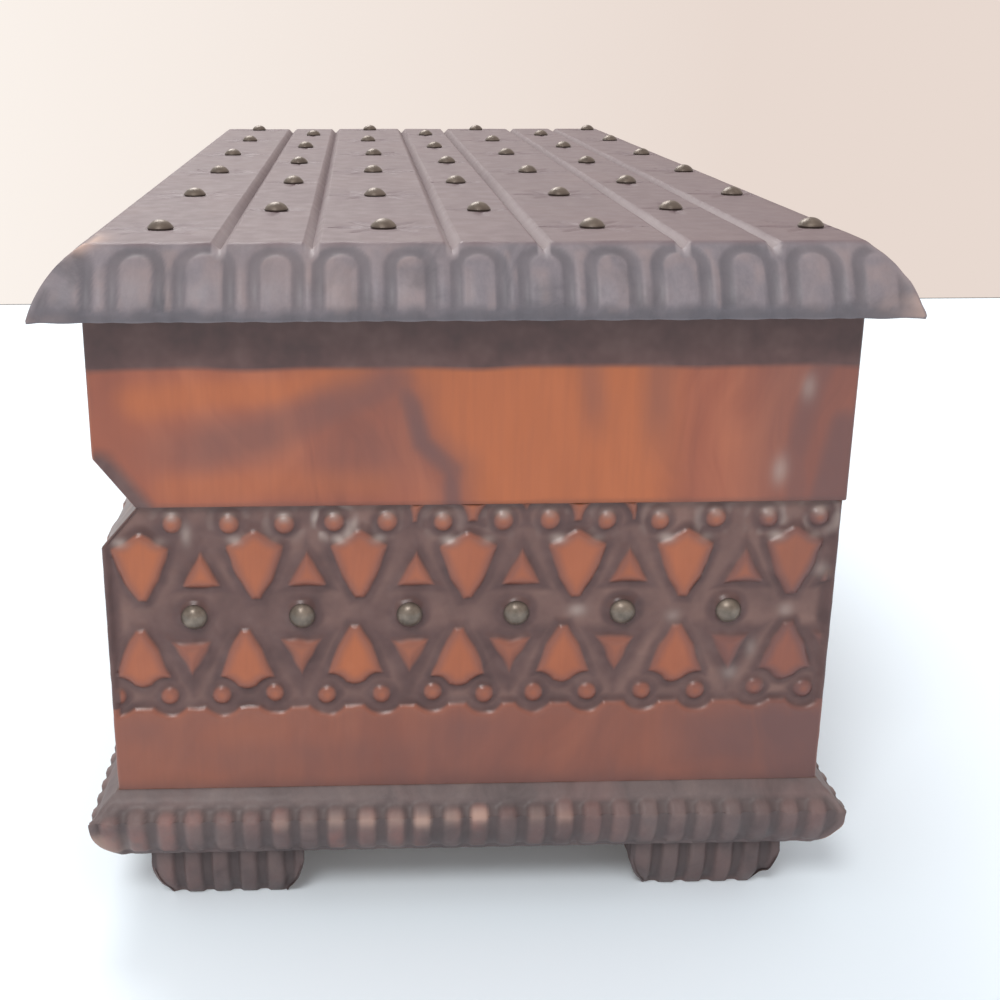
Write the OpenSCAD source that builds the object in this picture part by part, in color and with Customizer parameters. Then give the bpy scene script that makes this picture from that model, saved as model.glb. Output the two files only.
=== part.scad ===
// Carved wooden jewelry box: a deep hinged lid on a rectangular case with a fluted base and four feet.
// The long side lies along X. The front, with its finger groove, faces -Y and the hinges are at +Y.
// The origin is at the middle of the footprint, on the surface that the feet stand on.

/* [Case] */
// Length of the case over its end walls
case_l = 330; // [270:1:400]
// Width of the case over its front and back walls
case_w = 150; // [130:1:190]
// Height from the top of the base board to the joint with the lid
case_h = 63; // [50:1:90]
// Thickness of the walls and of the lid's rails
wall_t = 12; // [11:0.5:14]

/* [Lid] */
// Depth of the lid's frame from the joint to the underside of the lid board
lid_frame_h = 38.8; // [25:0.1:60]
// How far the lid's frame stands out past the case on each side
lid_proud = 0.55; // [0.2:0.05:1]
// Thickness of the lid board
lid_board_t = 13.5; // [10:0.5:18]
// How far the lid board reaches past the case on each side
lid_overhang = 9.3; // [6:0.1:14]
// Width of the rounded edge around the lid board
lid_edge_w = 9.9; // [6:0.1:14]
// Swell of the lid board's edge past a straight bevel
lid_edge_swell = 1.6; // [0.5:0.1:2.5]
// Gap between the closed lid and the case
lid_gap = 0.3; // [0.2:0.05:0.6]

/* [Finger groove] */
// Height of the groove's bevel on the lid
groove_lid_h = 10.3; // [5:0.1:14]
// Depth of the groove's bevel on the lid
groove_lid_d = 8; // [4:0.1:9]
// Height of the groove's bevel on the case
groove_case_h = 8.6; // [5:0.1:14]
// Depth of the groove's bevel on the case
groove_case_d = 7.6; // [4:0.1:9]

/* [Base board] */
// Thickness of the base board
base_t = 15.7; // [12:0.1:20]
// How far the base board's edge reaches past the case
base_out = 5.7; // [3:0.1:9]
// Height of the straight bevel above the base board's widest line
base_bevel_h = 5.3; // [3:0.1:7]
// How far the underside of the base board reaches past the case
base_under_out = 0.2; // [0:0.1:2]
// Swell of the lower edge past a straight bevel
base_swell = 1.4; // [0.5:0.1:2]

/* [Feet] */
// Height of a foot
foot_h = 13; // [6:0.5:20]
// Width of a foot at its top
foot_w = 33; // [24:0.5:40]
// How far each side of a foot draws in at its sole
foot_draw = 3.4; // [1:0.1:5]
// Height of the straight stretch at the top of a foot
foot_straight_h = 2; // [0.5:0.1:4]
// Swell of a foot's sides below it
foot_swell = 1.2; // [0.4:0.1:2]
// Distance of a foot from the end of the case
foot_inset_end = 1.5; // [0:0.5:12]
// Distance of a foot from the front or back of the case
foot_inset_side = 6; // [0:0.5:12]
// Spacing of the flutes around a foot
foot_flute_pitch = 6; // [4:0.1:8]
// Width of a flute
foot_flute_w = 3.2; // [2:0.1:3.6]
// Depth of a flute
foot_flute_d = 1.2; // [0.5:0.1:1.5]

/* [Lid bands] */
// Distance between the middles of two narrow bands
band_pitch = 44; // [36:0.5:48]
// Width of a narrow band
band_narrow_w = 17.4; // [12:0.1:22]
// How far the hand-laid pattern lies from the lid's middle line
band_shift = 3.8; // [-5:0.1:5]
// Width of the grooves between the bands
vgroove_w = 3; // [1.5:0.1:4]
// Depth of the grooves between the bands
vgroove_d = 1.6; // [0.8:0.1:2.5]

/* [Studs] */
// Diameter of a stud's domed head
stud_head_d = 5.4; // [4:0.1:7]
// Height of a stud's domed head
stud_head_h = 1.9; // [1:0.1:2.2]
// Diameter of a stud's shank
stud_shank_d = 1.3; // [1:0.1:1.8]
// Length of a stud's shank in the wood
stud_shank_l = 7; // [4:0.5:9]
// Spacing of the studs along a band of the lid
lid_stud_pitch = 60.5; // [30:0.5:70]
// How far the studs of the lid lie from its middle, along the box
lid_stud_shift = -8.5; // [-10:0.5:10]
// How far a hand-set stud strays from its row
stud_stray = 0.7; // [0:0.1:1]
// Spacing of the studs around the case
side_stud_pitch = 22; // [16:0.5:30]
// Height of the case's studs above the base board
side_stud_up = 39.4; // [20:0.1:45]
// How far the studs of the end walls lie from their middle
end_stud_shift = -2; // [-4:0.5:4]

/* [Carved band] */
// Depth of the ground that is cut away around the figures of the band
carve_d = 1; // [0.6:0.1:1.3]
// Plain wood between the carving and a corner of the case
carve_rim = 1.5; // [1.4:0.1:2.5]
// Height of the upper row of rings above the studs
ring_up = 19.8; // [18:0.1:22]
// Depth of the lower row of rings below the studs
ring_down = 18.1; // [17:0.1:20]
// Outer diameter of a ring
ring_d = 8.8; // [8:0.1:10]
// Diameter of the dot in a ring
ring_dot_d = 3.8; // [2.5:0.1:4.5]
// How far the ground reaches below the middle of the lower rings
band_low_reach = 2.6; // [1:0.1:4]
// Distance from the line of studs to the tip of a kite
kite_tip_at = 3.2; // [2:0.1:5]
// Width of a kite's tip
kite_tip_w = 1.8; // [1:0.1:3]
// Distance from the line of studs to the shoulders of a kite
kite_shoulder_at = 14.2; // [11:0.1:15]
// Gap between the shoulders of two kites
kite_gap = 10.5; // [8:0.1:12]
// Distance from a row of rings to the end of a kite between them
kite_end_gap = 2.3; // [1:0.1:3]
// Distance from the line of studs to the foot of a small triangle
triangle_at = 6.2; // [5:0.1:8]
// Width of a small triangle
triangle_w = 7.8; // [5:0.1:9]
// Height of a small triangle
triangle_h = 7.4; // [5:0.1:9]
// Rim of the boss that a stud's head sits on
seat_rim = 0.2; // [0.1:0.05:0.5]

/* [Lid arches] */
// Spacing of the arches around the edge of the lid board
arch_pitch = 12.75; // [11:0.05:16]
// Width of an arch over the middles of its gouges
arch_w = 9; // [7:0.1:9.4]
// Width of a gouge
gouge_w = 2; // [1:0.1:2.4]
// Depth of a gouge
gouge_d = 1; // [0.5:0.1:1.2]
// Distance from the flat of the lid to the middle of an arch's gouge
arch_down = 1.7; // [1.4:0.1:3]

/* [Hinges] */
// Length of a hinge
hinge_l = 30; // [24:1:40]
// Distance from a hinge's middle to the end of the case
hinge_from_end = 62; // [45:1:100]
// Thickness of a hinge leaf
leaf_t = 1; // [0.8:0.1:1.5]
// How far a leaf reaches over the wall's edge
leaf_reach = 9.5; // [8:0.1:10]
// Diameter of the knuckle
knuckle_d = 4.4; // [4:0.1:6]
// Diameter of the hinge pin
pin_d = 2.2; // [1.8:0.1:2.6]
// Clearance around the pin
pin_play = 0.05; // [0.02:0.01:0.08]
// Gap between the knuckle and the back of the lid
knuckle_gap = 0.15; // [0.1:0.05:0.5]
// Gap between two knuckles along the pin
knuckle_end_gap = 0.2; // [0.1:0.05:0.4]

/* [Screws] */
// Diameter of a screw's head
screw_head_d = 4.2; // [3.6:0.1:5]
// Diameter of a screw's shank
screw_shank_d = 2.2; // [1.6:0.1:2.6]
// Length of a hinge screw
hinge_screw_l = 10; // [8:0.5:16]
// Spacing of the screws along a hinge
hinge_screw_pitch = 10; // [8:0.5:11]
// Length of a screw through the base board
base_screw_l = 32; // [24:0.5:40]
// Spacing of the base screws along the front and back walls
base_screw_pitch = 120; // [80:1:125]

/* [Lining] */
// Thickness of the felt on the floor of the case
felt_t = 1.2; // [0.6:0.1:2.5]
// Gap between the felt and the walls
felt_gap = 0.5; // [0.2:0.1:2]

/* [Hidden] */
$fn = 48;

varnished = [0.62, 0.27, 0.12];
stained = [0.24, 0.17, 0.15];
brass = [0.52, 0.46, 0.30];
felt = [0.36, 0.10, 0.12];

// Extra length of a cutter past the faces that it goes through
cut = 1;
// Gap between a fastener and its hole, and between a leaf and its recess
fit = 0.05;

// Heights of the main joints above the feet's soles
base_z = foot_h;
wall_z = base_z + base_t;
joint_z = wall_z + case_h;
case_top_z = joint_z - lid_gap / 2;
lid_low_z = joint_z + lid_gap / 2;
board_z = joint_z + lid_frame_h;
top_z = board_z + lid_board_t;

// Outer size of the lid's frame and of the flat top inside its rounded edge
frame_l = case_l + 2 * lid_proud;
frame_w = case_w + 2 * lid_proud;
flat_l = case_l + 2 * (lid_overhang - lid_edge_w);
flat_w = case_w + 2 * (lid_overhang - lid_edge_w);

// Hinge axis, just behind the back of the lid's frame
axis_y = frame_w / 2 + knuckle_gap + knuckle_d / 2;
hinge_x = case_l / 2 - hinge_from_end;
leaf_in_y = case_w / 2 - leaf_reach;
leaf_clear_y = axis_y - knuckle_d / 2 - 2 * knuckle_gap;
leaf_screw_y = case_w / 2 - leaf_reach / 2;
knuckle_l = hinge_l / 3;
pin_head_d = (pin_d + knuckle_d) / 2;
pin_head_t = 0.6;
slot_w = 0.6;
slot_d = 0.4;
screw_point_l = 2.5;
screw_point_d = 0.5;

function unit(v) = v / norm(v);

// Points on an arc from p to q that swells to the left of the way from p to q, drawn in by inset
function arc(p, q, swell, steps = 8, inset = 0) =
    let (along = unit(q - p),
         side = [-along.y, along.x],
         half = norm(q - p) / 2,
         r = (half * half + swell * swell) / (2 * swell),
         centre = (p + q) / 2 - side * (r - swell),
         reach = asin(half / r))
    [for (i = [0:steps])
        let (a = reach * (2 * i / steps - 1))
        centre + (r - inset) * (cos(a) * side + sin(a) * along)];

// A closed outline from the points of its right half, given from the top down
function mirrored(right) =
    concat(right, [for (i = [len(right) - 1:-1:0]) [-right[i].x, right[i].y]]);

// A board whose edge has the same outline along all four sides, mitred at the corners
module edged_board(along_x, along_y, reach_x, reach_y) {
    intersection() {
        rotate([90, 0, 0])
            linear_extrude(height = 2 * reach_y, center = true)
                polygon(along_x);
        rotate([90, 0, 90])
            linear_extrude(height = 2 * reach_x, center = true)
                polygon(along_y);
    }
}

// A bar along X with the outline given in Y and Z
module bar_x(length, outline) {
    rotate([90, 0, 90])
        linear_extrude(height = length, center = true)
            polygon(outline);
}

// Places of the studs. A row is written as the list of its points.
function stray_at(i, row) = stud_stray * [cos(137 * i + 71 * row), sin(137 * i + 71 * row)];
function lid_row_y(row) = band_shift + (row - 3) * band_pitch / 2;
function lid_row_free(row) =
    flat_l / 2 - abs(lid_stud_shift) - stud_stray - stud_head_d / 2
    + (row % 2 == 0 ? lid_stud_pitch / 2 : 0);
function lid_row_half(row) = floor(lid_row_free(row) / lid_stud_pitch);
function lid_row_x(row, i) =
    lid_stud_shift + lid_stud_pitch * (row % 2 == 0 ? i - lid_row_half(row) + 0.5 : i - lid_row_half(row));
function lid_row_count(row) = 2 * lid_row_half(row) + (row % 2 == 0 ? 0 : 1);
function lid_stud_places() =
    [for (row = [0:6])
        for (i = [0:lid_row_count(row) - 1])
            [lid_row_x(row, i), lid_row_y(row)] + stray_at(i, row)];

function side_row(length, shift = 0) =
    let (half = floor((length / 2 - abs(shift) - stud_head_d) / side_stud_pitch + 0.5))
    [for (i = [0:2 * half - 1]) shift + (i - half + 0.5) * side_stud_pitch];
long_places = side_row(case_l - 2 * wall_t);
end_places = side_row(case_w, end_stud_shift);
side_stud_z = wall_z + side_stud_up;

// A domed stud that is driven in along -Z, with its head standing on z = 0
module stud() {
    head_r = (pow(stud_head_d / 2, 2) + pow(stud_head_h, 2)) / (2 * stud_head_h);
    intersection() {
        translate([0, 0, stud_head_h - head_r])
            sphere(r = head_r);
        cylinder(h = stud_head_h, d = stud_head_d);
    }
    translate([0, 0, -stud_shank_l])
        cylinder(h = stud_shank_l, d = stud_shank_d);
}

module stud_hole() {
    translate([0, 0, -stud_shank_l - fit])
        cylinder(h = stud_shank_l + fit + cut, d = stud_shank_d + 2 * fit);
}

// What is drawn with the wall's outer face as z = 0 is set along one of the four walls
module along_front() {
    for (x = long_places)
        translate([x, -case_w / 2, side_stud_z]) rotate([90, 0, 0]) children();
}

module along_back() {
    for (x = long_places)
        translate([x, case_w / 2, side_stud_z]) rotate([-90, 0, 0]) children();
}

module along_left() {
    for (y = end_places)
        translate([-case_l / 2, y, side_stud_z]) rotate([0, -90, 0]) children();
}

module along_right() {
    for (y = end_places)
        translate([case_l / 2, y, side_stud_z]) rotate([0, 90, 0]) children();
}

module along_lid() {
    for (place = lid_stud_places())
        translate([place.x, place.y, top_z]) children();
}

// The carved band is drawn as seen from outside, with the line of studs as y = 0 and the wall's face as z = 0.
// Its ground is cut away, and kites, small triangles, dots and the studs' bosses are left standing.
function widened(places) =
    concat([places[0] - side_stud_pitch], places, [places[len(places) - 1] + side_stud_pitch]);
function between(places) = [for (i = [1:len(places) - 1]) (places[i - 1] + places[i]) / 2];
function within(places, from, to) =
    [for (x = places) if (x > from - side_stud_pitch / 2 && x < to + side_stud_pitch / 2) x];

module at_rings(places, row) {
    for (x = places)
        for (side = [-1, 1])
            translate([x + side * side_stud_pitch / 4, row]) children();
}

// A kite that points down at the line of studs, with its end cut out by the rings of this row
module kite(row) {
    shoulder = (side_stud_pitch - kite_gap) / 2;
    end = row - kite_end_gap;
    difference() {
        polygon([[kite_tip_w / 2, kite_tip_at], [shoulder, kite_shoulder_at], [shoulder, end],
                 [-shoulder, end], [-shoulder, kite_shoulder_at], [-kite_tip_w / 2, kite_tip_at]]);
        at_rings([0], row) circle(d = ring_d);
    }
}

module band_figures(studs, kites, seats) {
    for (x = kites)
        translate([x, 0]) {
            kite(ring_up);
            mirror([0, 1]) kite(ring_down);
        }
    for (x = studs)
        for (side = [-1, 1])
            translate([x, side * triangle_at])
                polygon([[-triangle_w / 2, 0], [triangle_w / 2, 0], [0, side * triangle_h]]);
    at_rings(studs, ring_up) circle(d = ring_dot_d);
    at_rings(studs, -ring_down) circle(d = ring_dot_d);
    for (x = seats)
        translate([x, 0]) circle(d = stud_head_d + 2 * seat_rim);
}

// The cut that carves one face between from and to, where places are the studs of the whole face
module band_cut(places, from, to) {
    every = widened(places);
    studs = within(every, from, to);
    low = -ring_down - band_low_reach;
    translate([0, 0, -carve_d])
        linear_extrude(height = carve_d + cut)
            difference() {
                intersection() {
                    union() {
                        translate([from, low]) square([to - from, ring_up + ring_d / 2 - low]);
                        at_rings(studs, -ring_down) circle(d = ring_d);
                    }
                    translate([from, low - ring_d]) square([to - from, ring_up + 2 * ring_d - low]);
                }
                band_figures(studs, within(between(widened(every)), from, to), within(places, from, to));
            }
}

function turned(places) = [for (i = [len(places) - 1:-1:0]) -places[i]];

module band_front(from, to) {
    translate([0, -case_w / 2, side_stud_z]) rotate([90, 0, 0]) band_cut(long_places, from, to);
}

module band_back(from, to) {
    translate([0, case_w / 2, side_stud_z]) rotate([90, 0, 180]) band_cut(turned(long_places), from, to);
}

// The strips of the front's and the back's band that an end wall shows
module band_on_end(side) {
    from = case_l / 2 - wall_t - cut;
    to = case_l / 2 - carve_rim;
    band_front(side > 0 ? from : -to, side > 0 ? to : -from);
    band_back(side > 0 ? -to : from, side > 0 ? -from : to);
    end = case_w / 2 - carve_rim;
    translate([side * case_l / 2, 0, side_stud_z])
        rotate([90, 0, side * 90])
            band_cut(side > 0 ? end_places : turned(end_places), -end, end);
}

// A countersunk wood screw that points along -Z, with its slotted head flush with z = 0
module screw(length) {
    countersink = (screw_head_d - screw_shank_d) / 2;
    difference() {
        union() {
            translate([0, 0, -countersink])
                cylinder(h = countersink, d1 = screw_shank_d, d2 = screw_head_d);
            translate([0, 0, screw_point_l - length])
                cylinder(h = length - screw_point_l - countersink, d = screw_shank_d);
            translate([0, 0, -length])
                cylinder(h = screw_point_l, d1 = screw_point_d, d2 = screw_shank_d);
        }
        translate([-screw_head_d, -slot_w / 2, -slot_d])
            cube([2 * screw_head_d, slot_w, slot_d + cut]);
    }
}

module screw_hole(length) {
    countersink = (screw_head_d - screw_shank_d) / 2;
    translate([0, 0, -length - fit])
        cylinder(h = length + fit + cut, d = screw_shank_d + 2 * fit);
    translate([0, 0, -countersink - fit])
        cylinder(h = countersink + fit, d1 = screw_shank_d + 2 * fit, d2 = screw_head_d + 2 * fit);
}

module at_hinges() {
    for (x = [-hinge_x, hinge_x])
        translate([x, 0, 0]) children();
}

module at_leaf_screws() {
    for (i = [-1:1])
        translate([i * hinge_screw_pitch, leaf_screw_y, 0]) children();
}

// The base screws stand under the middle of the walls
module at_base_screws() {
    for (y = [-1, 1] * (case_w - wall_t) / 2)
        for (i = [-1:1])
            translate([i * base_screw_pitch, y, base_z]) rotate([180, 0, 0]) children();
    for (x = [-1, 1] * (case_l - wall_t) / 2)
        translate([x, 0, base_z]) rotate([180, 0, 0]) children();
}

// Recesses for the leaves of both hinges and the holes for their screws, below the plane z = 0
module leaf_recess() {
    at_hinges() {
        translate([-hinge_l / 2 - fit, leaf_in_y - fit, -leaf_t])
            cube([hinge_l + 2 * fit, leaf_reach + 2 * lid_proud + cut, leaf_t + cut]);
        at_leaf_screws() screw_hole(hinge_screw_l);
    }
}

function base_side(half) =
    mirrored(concat([[half, wall_z]],
                    arc([half + base_out, wall_z - base_bevel_h], [half + base_under_out, base_z], base_swell)));

module base_board() {
    color(stained)
        difference() {
            edged_board(base_side(case_l / 2), base_side(case_w / 2),
                        case_l / 2 + base_out, case_w / 2 + base_out);
            at_base_screws() screw_hole(base_screw_l);
        }
}

// The front wall's top edge is bevelled to make the lower half of the finger groove
groove_low = [[-case_w / 2, joint_z - groove_case_h], [groove_case_d - case_w / 2, joint_z]];
groove_high = [[groove_lid_d - frame_w / 2, joint_z], [-frame_w / 2, joint_z + groove_lid_h]];

function on_line(line, z) =
    line[0] + (line[1] - line[0]) * (z - line[0].y) / (line[1].y - line[0].y);

module case_front_wall() {
    inner_y = wall_t - case_w / 2;
    color(varnished)
        difference() {
            bar_x(case_l - 2 * wall_t,
                  [[inner_y, wall_z], [inner_y, case_top_z], on_line(groove_low, case_top_z),
                   groove_low[0], [-case_w / 2, wall_z]]);
            band_front(wall_t - case_l / 2 - cut, case_l / 2 - wall_t + cut);
            along_front() stud_hole();
            at_base_screws() screw_hole(base_screw_l);
        }
}

module case_back_wall() {
    color(varnished)
        difference() {
            translate([wall_t - case_l / 2, case_w / 2 - wall_t, wall_z])
                cube([case_l - 2 * wall_t, wall_t, case_top_z - wall_z]);
            band_back(wall_t - case_l / 2 - cut, case_l / 2 - wall_t + cut);
            along_back() stud_hole();
            at_base_screws() screw_hole(base_screw_l);
            translate([0, 0, case_top_z]) leaf_recess();
        }
}

module case_end_wall() {
    bar_x(wall_t,
          [[case_w / 2, wall_z], [case_w / 2, case_top_z], on_line(groove_low, case_top_z),
           groove_low[0], [-case_w / 2, wall_z]]);
}

module case_left_wall() {
    color(varnished)
        difference() {
            translate([(wall_t - case_l) / 2, 0, 0]) case_end_wall();
            band_on_end(-1);
            along_left() stud_hole();
            at_base_screws() screw_hole(base_screw_l);
        }
}

module case_right_wall() {
    color(varnished)
        difference() {
            translate([(case_l - wall_t) / 2, 0, 0]) case_end_wall();
            band_on_end(1);
            along_right() stud_hole();
            at_base_screws() screw_hole(base_screw_l);
        }
}

module floor_lining() {
    inset = wall_t + felt_gap;
    color(felt)
        translate([inset - case_l / 2, inset - case_w / 2, wall_z])
            cube([case_l - 2 * inset, case_w - 2 * inset, felt_t]);
}

// A foot stands on z = 0 with its middle on the Z axis and flutes all round
module foot() {
    side = mirrored(concat([[foot_w / 2, foot_h]],
                           arc([foot_w / 2, foot_h - foot_straight_h], [foot_w / 2 - foot_draw, 0], foot_swell)));
    half_count = floor((foot_w / 2 - foot_flute_w) / foot_flute_pitch + 0.5);
    flute_r = (pow(foot_flute_w / 2, 2) + pow(foot_flute_d, 2)) / (2 * foot_flute_d);
    color(stained)
        difference() {
            edged_board(side, side, foot_w / 2, foot_w / 2);
            for (turn = [0:90:270])
                rotate([0, 0, turn])
                    for (i = [-half_count:half_count - 1])
                        translate([(i + 0.5) * foot_flute_pitch, foot_w / 2 + flute_r - foot_flute_d, -cut])
                            cylinder(h = foot_h + 2 * cut, r = flute_r);
        }
}

foot_x = case_l / 2 - foot_inset_end - foot_w / 2;
foot_y = case_w / 2 - foot_inset_side - foot_w / 2;

module foot_front_left() {
    translate([-foot_x, -foot_y, 0]) foot();
}

module foot_front_right() {
    translate([foot_x, -foot_y, 0]) foot();
}

module foot_back_left() {
    translate([-foot_x, foot_y, 0]) foot();
}

module foot_back_right() {
    translate([foot_x, foot_y, 0]) foot();
}

module front_studs() {
    color(brass) along_front() stud();
}

module back_studs() {
    color(brass) along_back() stud();
}

module left_studs() {
    color(brass) along_left() stud();
}

module right_studs() {
    color(brass) along_right() stud();
}

module base_screws() {
    color(brass) at_base_screws() screw(base_screw_l);
}

// A ring of the hinge's barrel, centred on the X axis between x = from and x = to
module knuckle(from, to) {
    translate([from, 0, 0])
        rotate([0, 90, 0])
            cylinder(h = to - from, d = knuckle_d);
}

// A leaf with its barrel's axis on the X axis. The case's leaf has the outer knuckles, the lid's the middle.
module hinge_leaf(spans, low_z) {
    clear = leaf_clear_y - axis_y;
    inner = leaf_in_y - axis_y;
    difference() {
        union() {
            translate([-hinge_l / 2, inner, low_z])
                cube([hinge_l, clear - inner, leaf_t]);
            for (span = spans) {
                translate([span[0], inner, low_z])
                    cube([span[1] - span[0], -inner, leaf_t]);
                knuckle(span[0], span[1]);
            }
        }
        translate([-hinge_l / 2 - cut, 0, 0])
            rotate([0, 90, 0])
                cylinder(h = hinge_l + 2 * cut, d = pin_d + 2 * pin_play);
        children();
    }
}

outer_spans = [[-hinge_l / 2, -knuckle_l / 2 - knuckle_end_gap / 2],
               [knuckle_l / 2 + knuckle_end_gap / 2, hinge_l / 2]];
middle_span = [[knuckle_end_gap / 2 - knuckle_l / 2, knuckle_l / 2 - knuckle_end_gap / 2]];

module case_leaf(x) {
    color(brass)
        translate([x, axis_y, joint_z])
            hinge_leaf(outer_spans, -lid_gap / 2 - leaf_t)
                translate([0, -axis_y, -lid_gap / 2]) at_leaf_screws() screw_hole(hinge_screw_l);
}

module lid_leaf(x) {
    color(brass)
        translate([x, axis_y, joint_z])
            hinge_leaf(middle_span, lid_gap / 2)
                translate([0, -axis_y, lid_gap / 2])
                    at_leaf_screws() mirror([0, 0, 1]) screw_hole(hinge_screw_l);
}

module hinge_pin(x) {
    color(brass)
        translate([x - hinge_l / 2, axis_y, joint_z])
            rotate([0, 90, 0]) {
                cylinder(h = hinge_l, d = pin_d);
                translate([0, 0, -pin_head_t]) cylinder(h = pin_head_t, d = pin_head_d);
                translate([0, 0, hinge_l]) cylinder(h = pin_head_t, d = pin_head_d);
            }
}

module left_hinge_case_leaf() {
    case_leaf(-hinge_x);
}

module right_hinge_case_leaf() {
    case_leaf(hinge_x);
}

module left_hinge_lid_leaf() {
    lid_leaf(-hinge_x);
}

module right_hinge_lid_leaf() {
    lid_leaf(hinge_x);
}

module left_hinge_pin() {
    hinge_pin(-hinge_x);
}

module right_hinge_pin() {
    hinge_pin(hinge_x);
}

module case_hinge_screws() {
    color(brass)
        translate([0, 0, case_top_z])
            at_hinges() at_leaf_screws() screw(hinge_screw_l);
}

module lid_hinge_screws() {
    color(brass)
        translate([0, 0, lid_low_z])
            at_hinges() at_leaf_screws() mirror([0, 0, 1]) screw(hinge_screw_l);
}

lid_edge_top = [lid_overhang - lid_edge_w, top_z];
lid_edge_low = [lid_overhang, board_z];
lid_steps = 4;

function lid_side(half) =
    mirrored(arc([half, 0] + lid_edge_top, [half, 0] + lid_edge_low, lid_edge_swell, lid_steps));

// The same outline drawn in to the floor of the gouges, and reaching past the flat of the lid
function gouge_side(half) =
    let (floor_points = arc([half, 0] + lid_edge_top, [half, 0] + lid_edge_low, lid_edge_swell, lid_steps, gouge_d))
    mirrored(concat([[floor_points[0].x, top_z + cut]], floor_points));

// The gouges of one arch, drawn with the lid's top edge as y = 0
module arch() {
    legs = norm(lid_edge_low - lid_edge_top) + cut;
    outer = (arch_w + gouge_w) / 2;
    inner = (arch_w - gouge_w) / 2;
    translate([0, -arch_down - arch_w / 2])
        difference() {
            union() {
                circle(r = outer);
                translate([-outer, -legs]) square([2 * outer, legs]);
            }
            circle(r = inner);
            translate([-inner, -legs - cut]) square([2 * inner, legs + cut]);
        }
}

// The gouges along a side of the lid that lies at this distance from the middle, as seen from its end
module arches_along(length, distance) {
    slope = lid_edge_low - lid_edge_top;
    half_count = round(length / 2 / arch_pitch);
    lean = atan2(slope.x, -slope.y);
    intersection() {
        translate([distance + lid_edge_top.x, 0, top_z])
            rotate([90, 0, 90])
                rotate([-lean, 0, 0])
                    translate([0, 0, -2 * gouge_d])
                        linear_extrude(height = 2 * (gouge_d + lid_edge_swell))
                            for (i = [-half_count:half_count])
                                translate([i * arch_pitch, 0]) arch();
        translate([0, 0, board_z - cut])
            linear_extrude(height = lid_board_t + 2 * cut)
                polygon([[distance - length / 2, 0], [distance + 2 * lid_overhang, length / 2 + 2 * lid_overhang],
                         [distance + 2 * lid_overhang, -length / 2 - 2 * lid_overhang]]);
    }
}

module lid_gouges() {
    difference() {
        for (turn = [0, 180])
            rotate([0, 0, turn]) {
                arches_along(case_w, case_l / 2);
                rotate([0, 0, 90]) arches_along(case_l, case_w / 2);
            }
        edged_board(gouge_side(case_l / 2), gouge_side(case_w / 2),
                    case_l / 2 + lid_overhang, case_w / 2 + lid_overhang);
    }
}

module lid_board() {
    color(stained)
        difference() {
            edged_board(lid_side(case_l / 2), lid_side(case_w / 2),
                        case_l / 2 + lid_overhang, case_w / 2 + lid_overhang);
            lid_gouges();
            for (band = [-1:1])
                for (side = [-1, 1])
                    translate([0, band_shift + band * band_pitch + side * band_narrow_w / 2, 0])
                        bar_x(case_l + 2 * lid_overhang + 2 * cut,
                              [[-vgroove_w / 2, top_z], [0, top_z - vgroove_d], [vgroove_w / 2, top_z],
                               [vgroove_w / 2, top_z + cut], [-vgroove_w / 2, top_z + cut]]);
            along_lid() stud_hole();
        }
}

module lid_front_rail() {
    inner_y = wall_t - frame_w / 2;
    color(varnished)
        bar_x(frame_l - 2 * wall_t,
              [[inner_y, board_z], [inner_y, lid_low_z], on_line(groove_high, lid_low_z),
               groove_high[1], [-frame_w / 2, board_z]]);
}

module lid_back_rail() {
    color(varnished)
        difference() {
            translate([wall_t - frame_l / 2, frame_w / 2 - wall_t, lid_low_z])
                cube([frame_l - 2 * wall_t, wall_t, board_z - lid_low_z]);
            translate([0, 0, lid_low_z]) mirror([0, 0, 1]) leaf_recess();
        }
}

module lid_end_rail() {
    color(varnished)
        bar_x(wall_t,
              [[frame_w / 2, board_z], [frame_w / 2, lid_low_z], on_line(groove_high, lid_low_z),
               groove_high[1], [-frame_w / 2, board_z]]);
}

module lid_left_rail() {
    translate([(wall_t - frame_l) / 2, 0, 0]) lid_end_rail();
}

module lid_right_rail() {
    translate([(frame_l - wall_t) / 2, 0, 0]) lid_end_rail();
}

module lid_studs() {
    color(brass) along_lid() stud();
}

base_board();
case_front_wall();
case_back_wall();
case_left_wall();
case_right_wall();
floor_lining();
foot_front_left();
foot_front_right();
foot_back_left();
foot_back_right();
front_studs();
back_studs();
left_studs();
right_studs();
base_screws();
left_hinge_case_leaf();
right_hinge_case_leaf();
left_hinge_pin();
right_hinge_pin();
case_hinge_screws();
lid_board();
lid_front_rail();
lid_back_rail();
lid_left_rail();
lid_right_rail();
lid_studs();
left_hinge_lid_leaf();
right_hinge_lid_leaf();
lid_hinge_screws();
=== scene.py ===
import math
from functools import reduce
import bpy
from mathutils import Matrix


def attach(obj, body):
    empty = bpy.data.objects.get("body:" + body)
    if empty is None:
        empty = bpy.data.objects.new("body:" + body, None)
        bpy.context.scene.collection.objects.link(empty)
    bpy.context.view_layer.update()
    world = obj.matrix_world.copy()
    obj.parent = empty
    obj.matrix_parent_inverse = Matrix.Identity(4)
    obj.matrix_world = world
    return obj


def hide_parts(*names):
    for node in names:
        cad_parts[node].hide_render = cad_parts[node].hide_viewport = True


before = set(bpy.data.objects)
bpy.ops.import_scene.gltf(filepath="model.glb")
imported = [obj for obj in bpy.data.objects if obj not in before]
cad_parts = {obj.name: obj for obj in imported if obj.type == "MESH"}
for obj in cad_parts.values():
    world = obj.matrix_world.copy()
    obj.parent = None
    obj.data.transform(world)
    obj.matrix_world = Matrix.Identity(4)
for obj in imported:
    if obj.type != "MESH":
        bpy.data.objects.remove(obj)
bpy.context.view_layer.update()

from types import SimpleNamespace

import bpy
import numpy as np
from mathutils import Matrix, Vector
from mathutils.geometry import delaunay_2d_cdt

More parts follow.
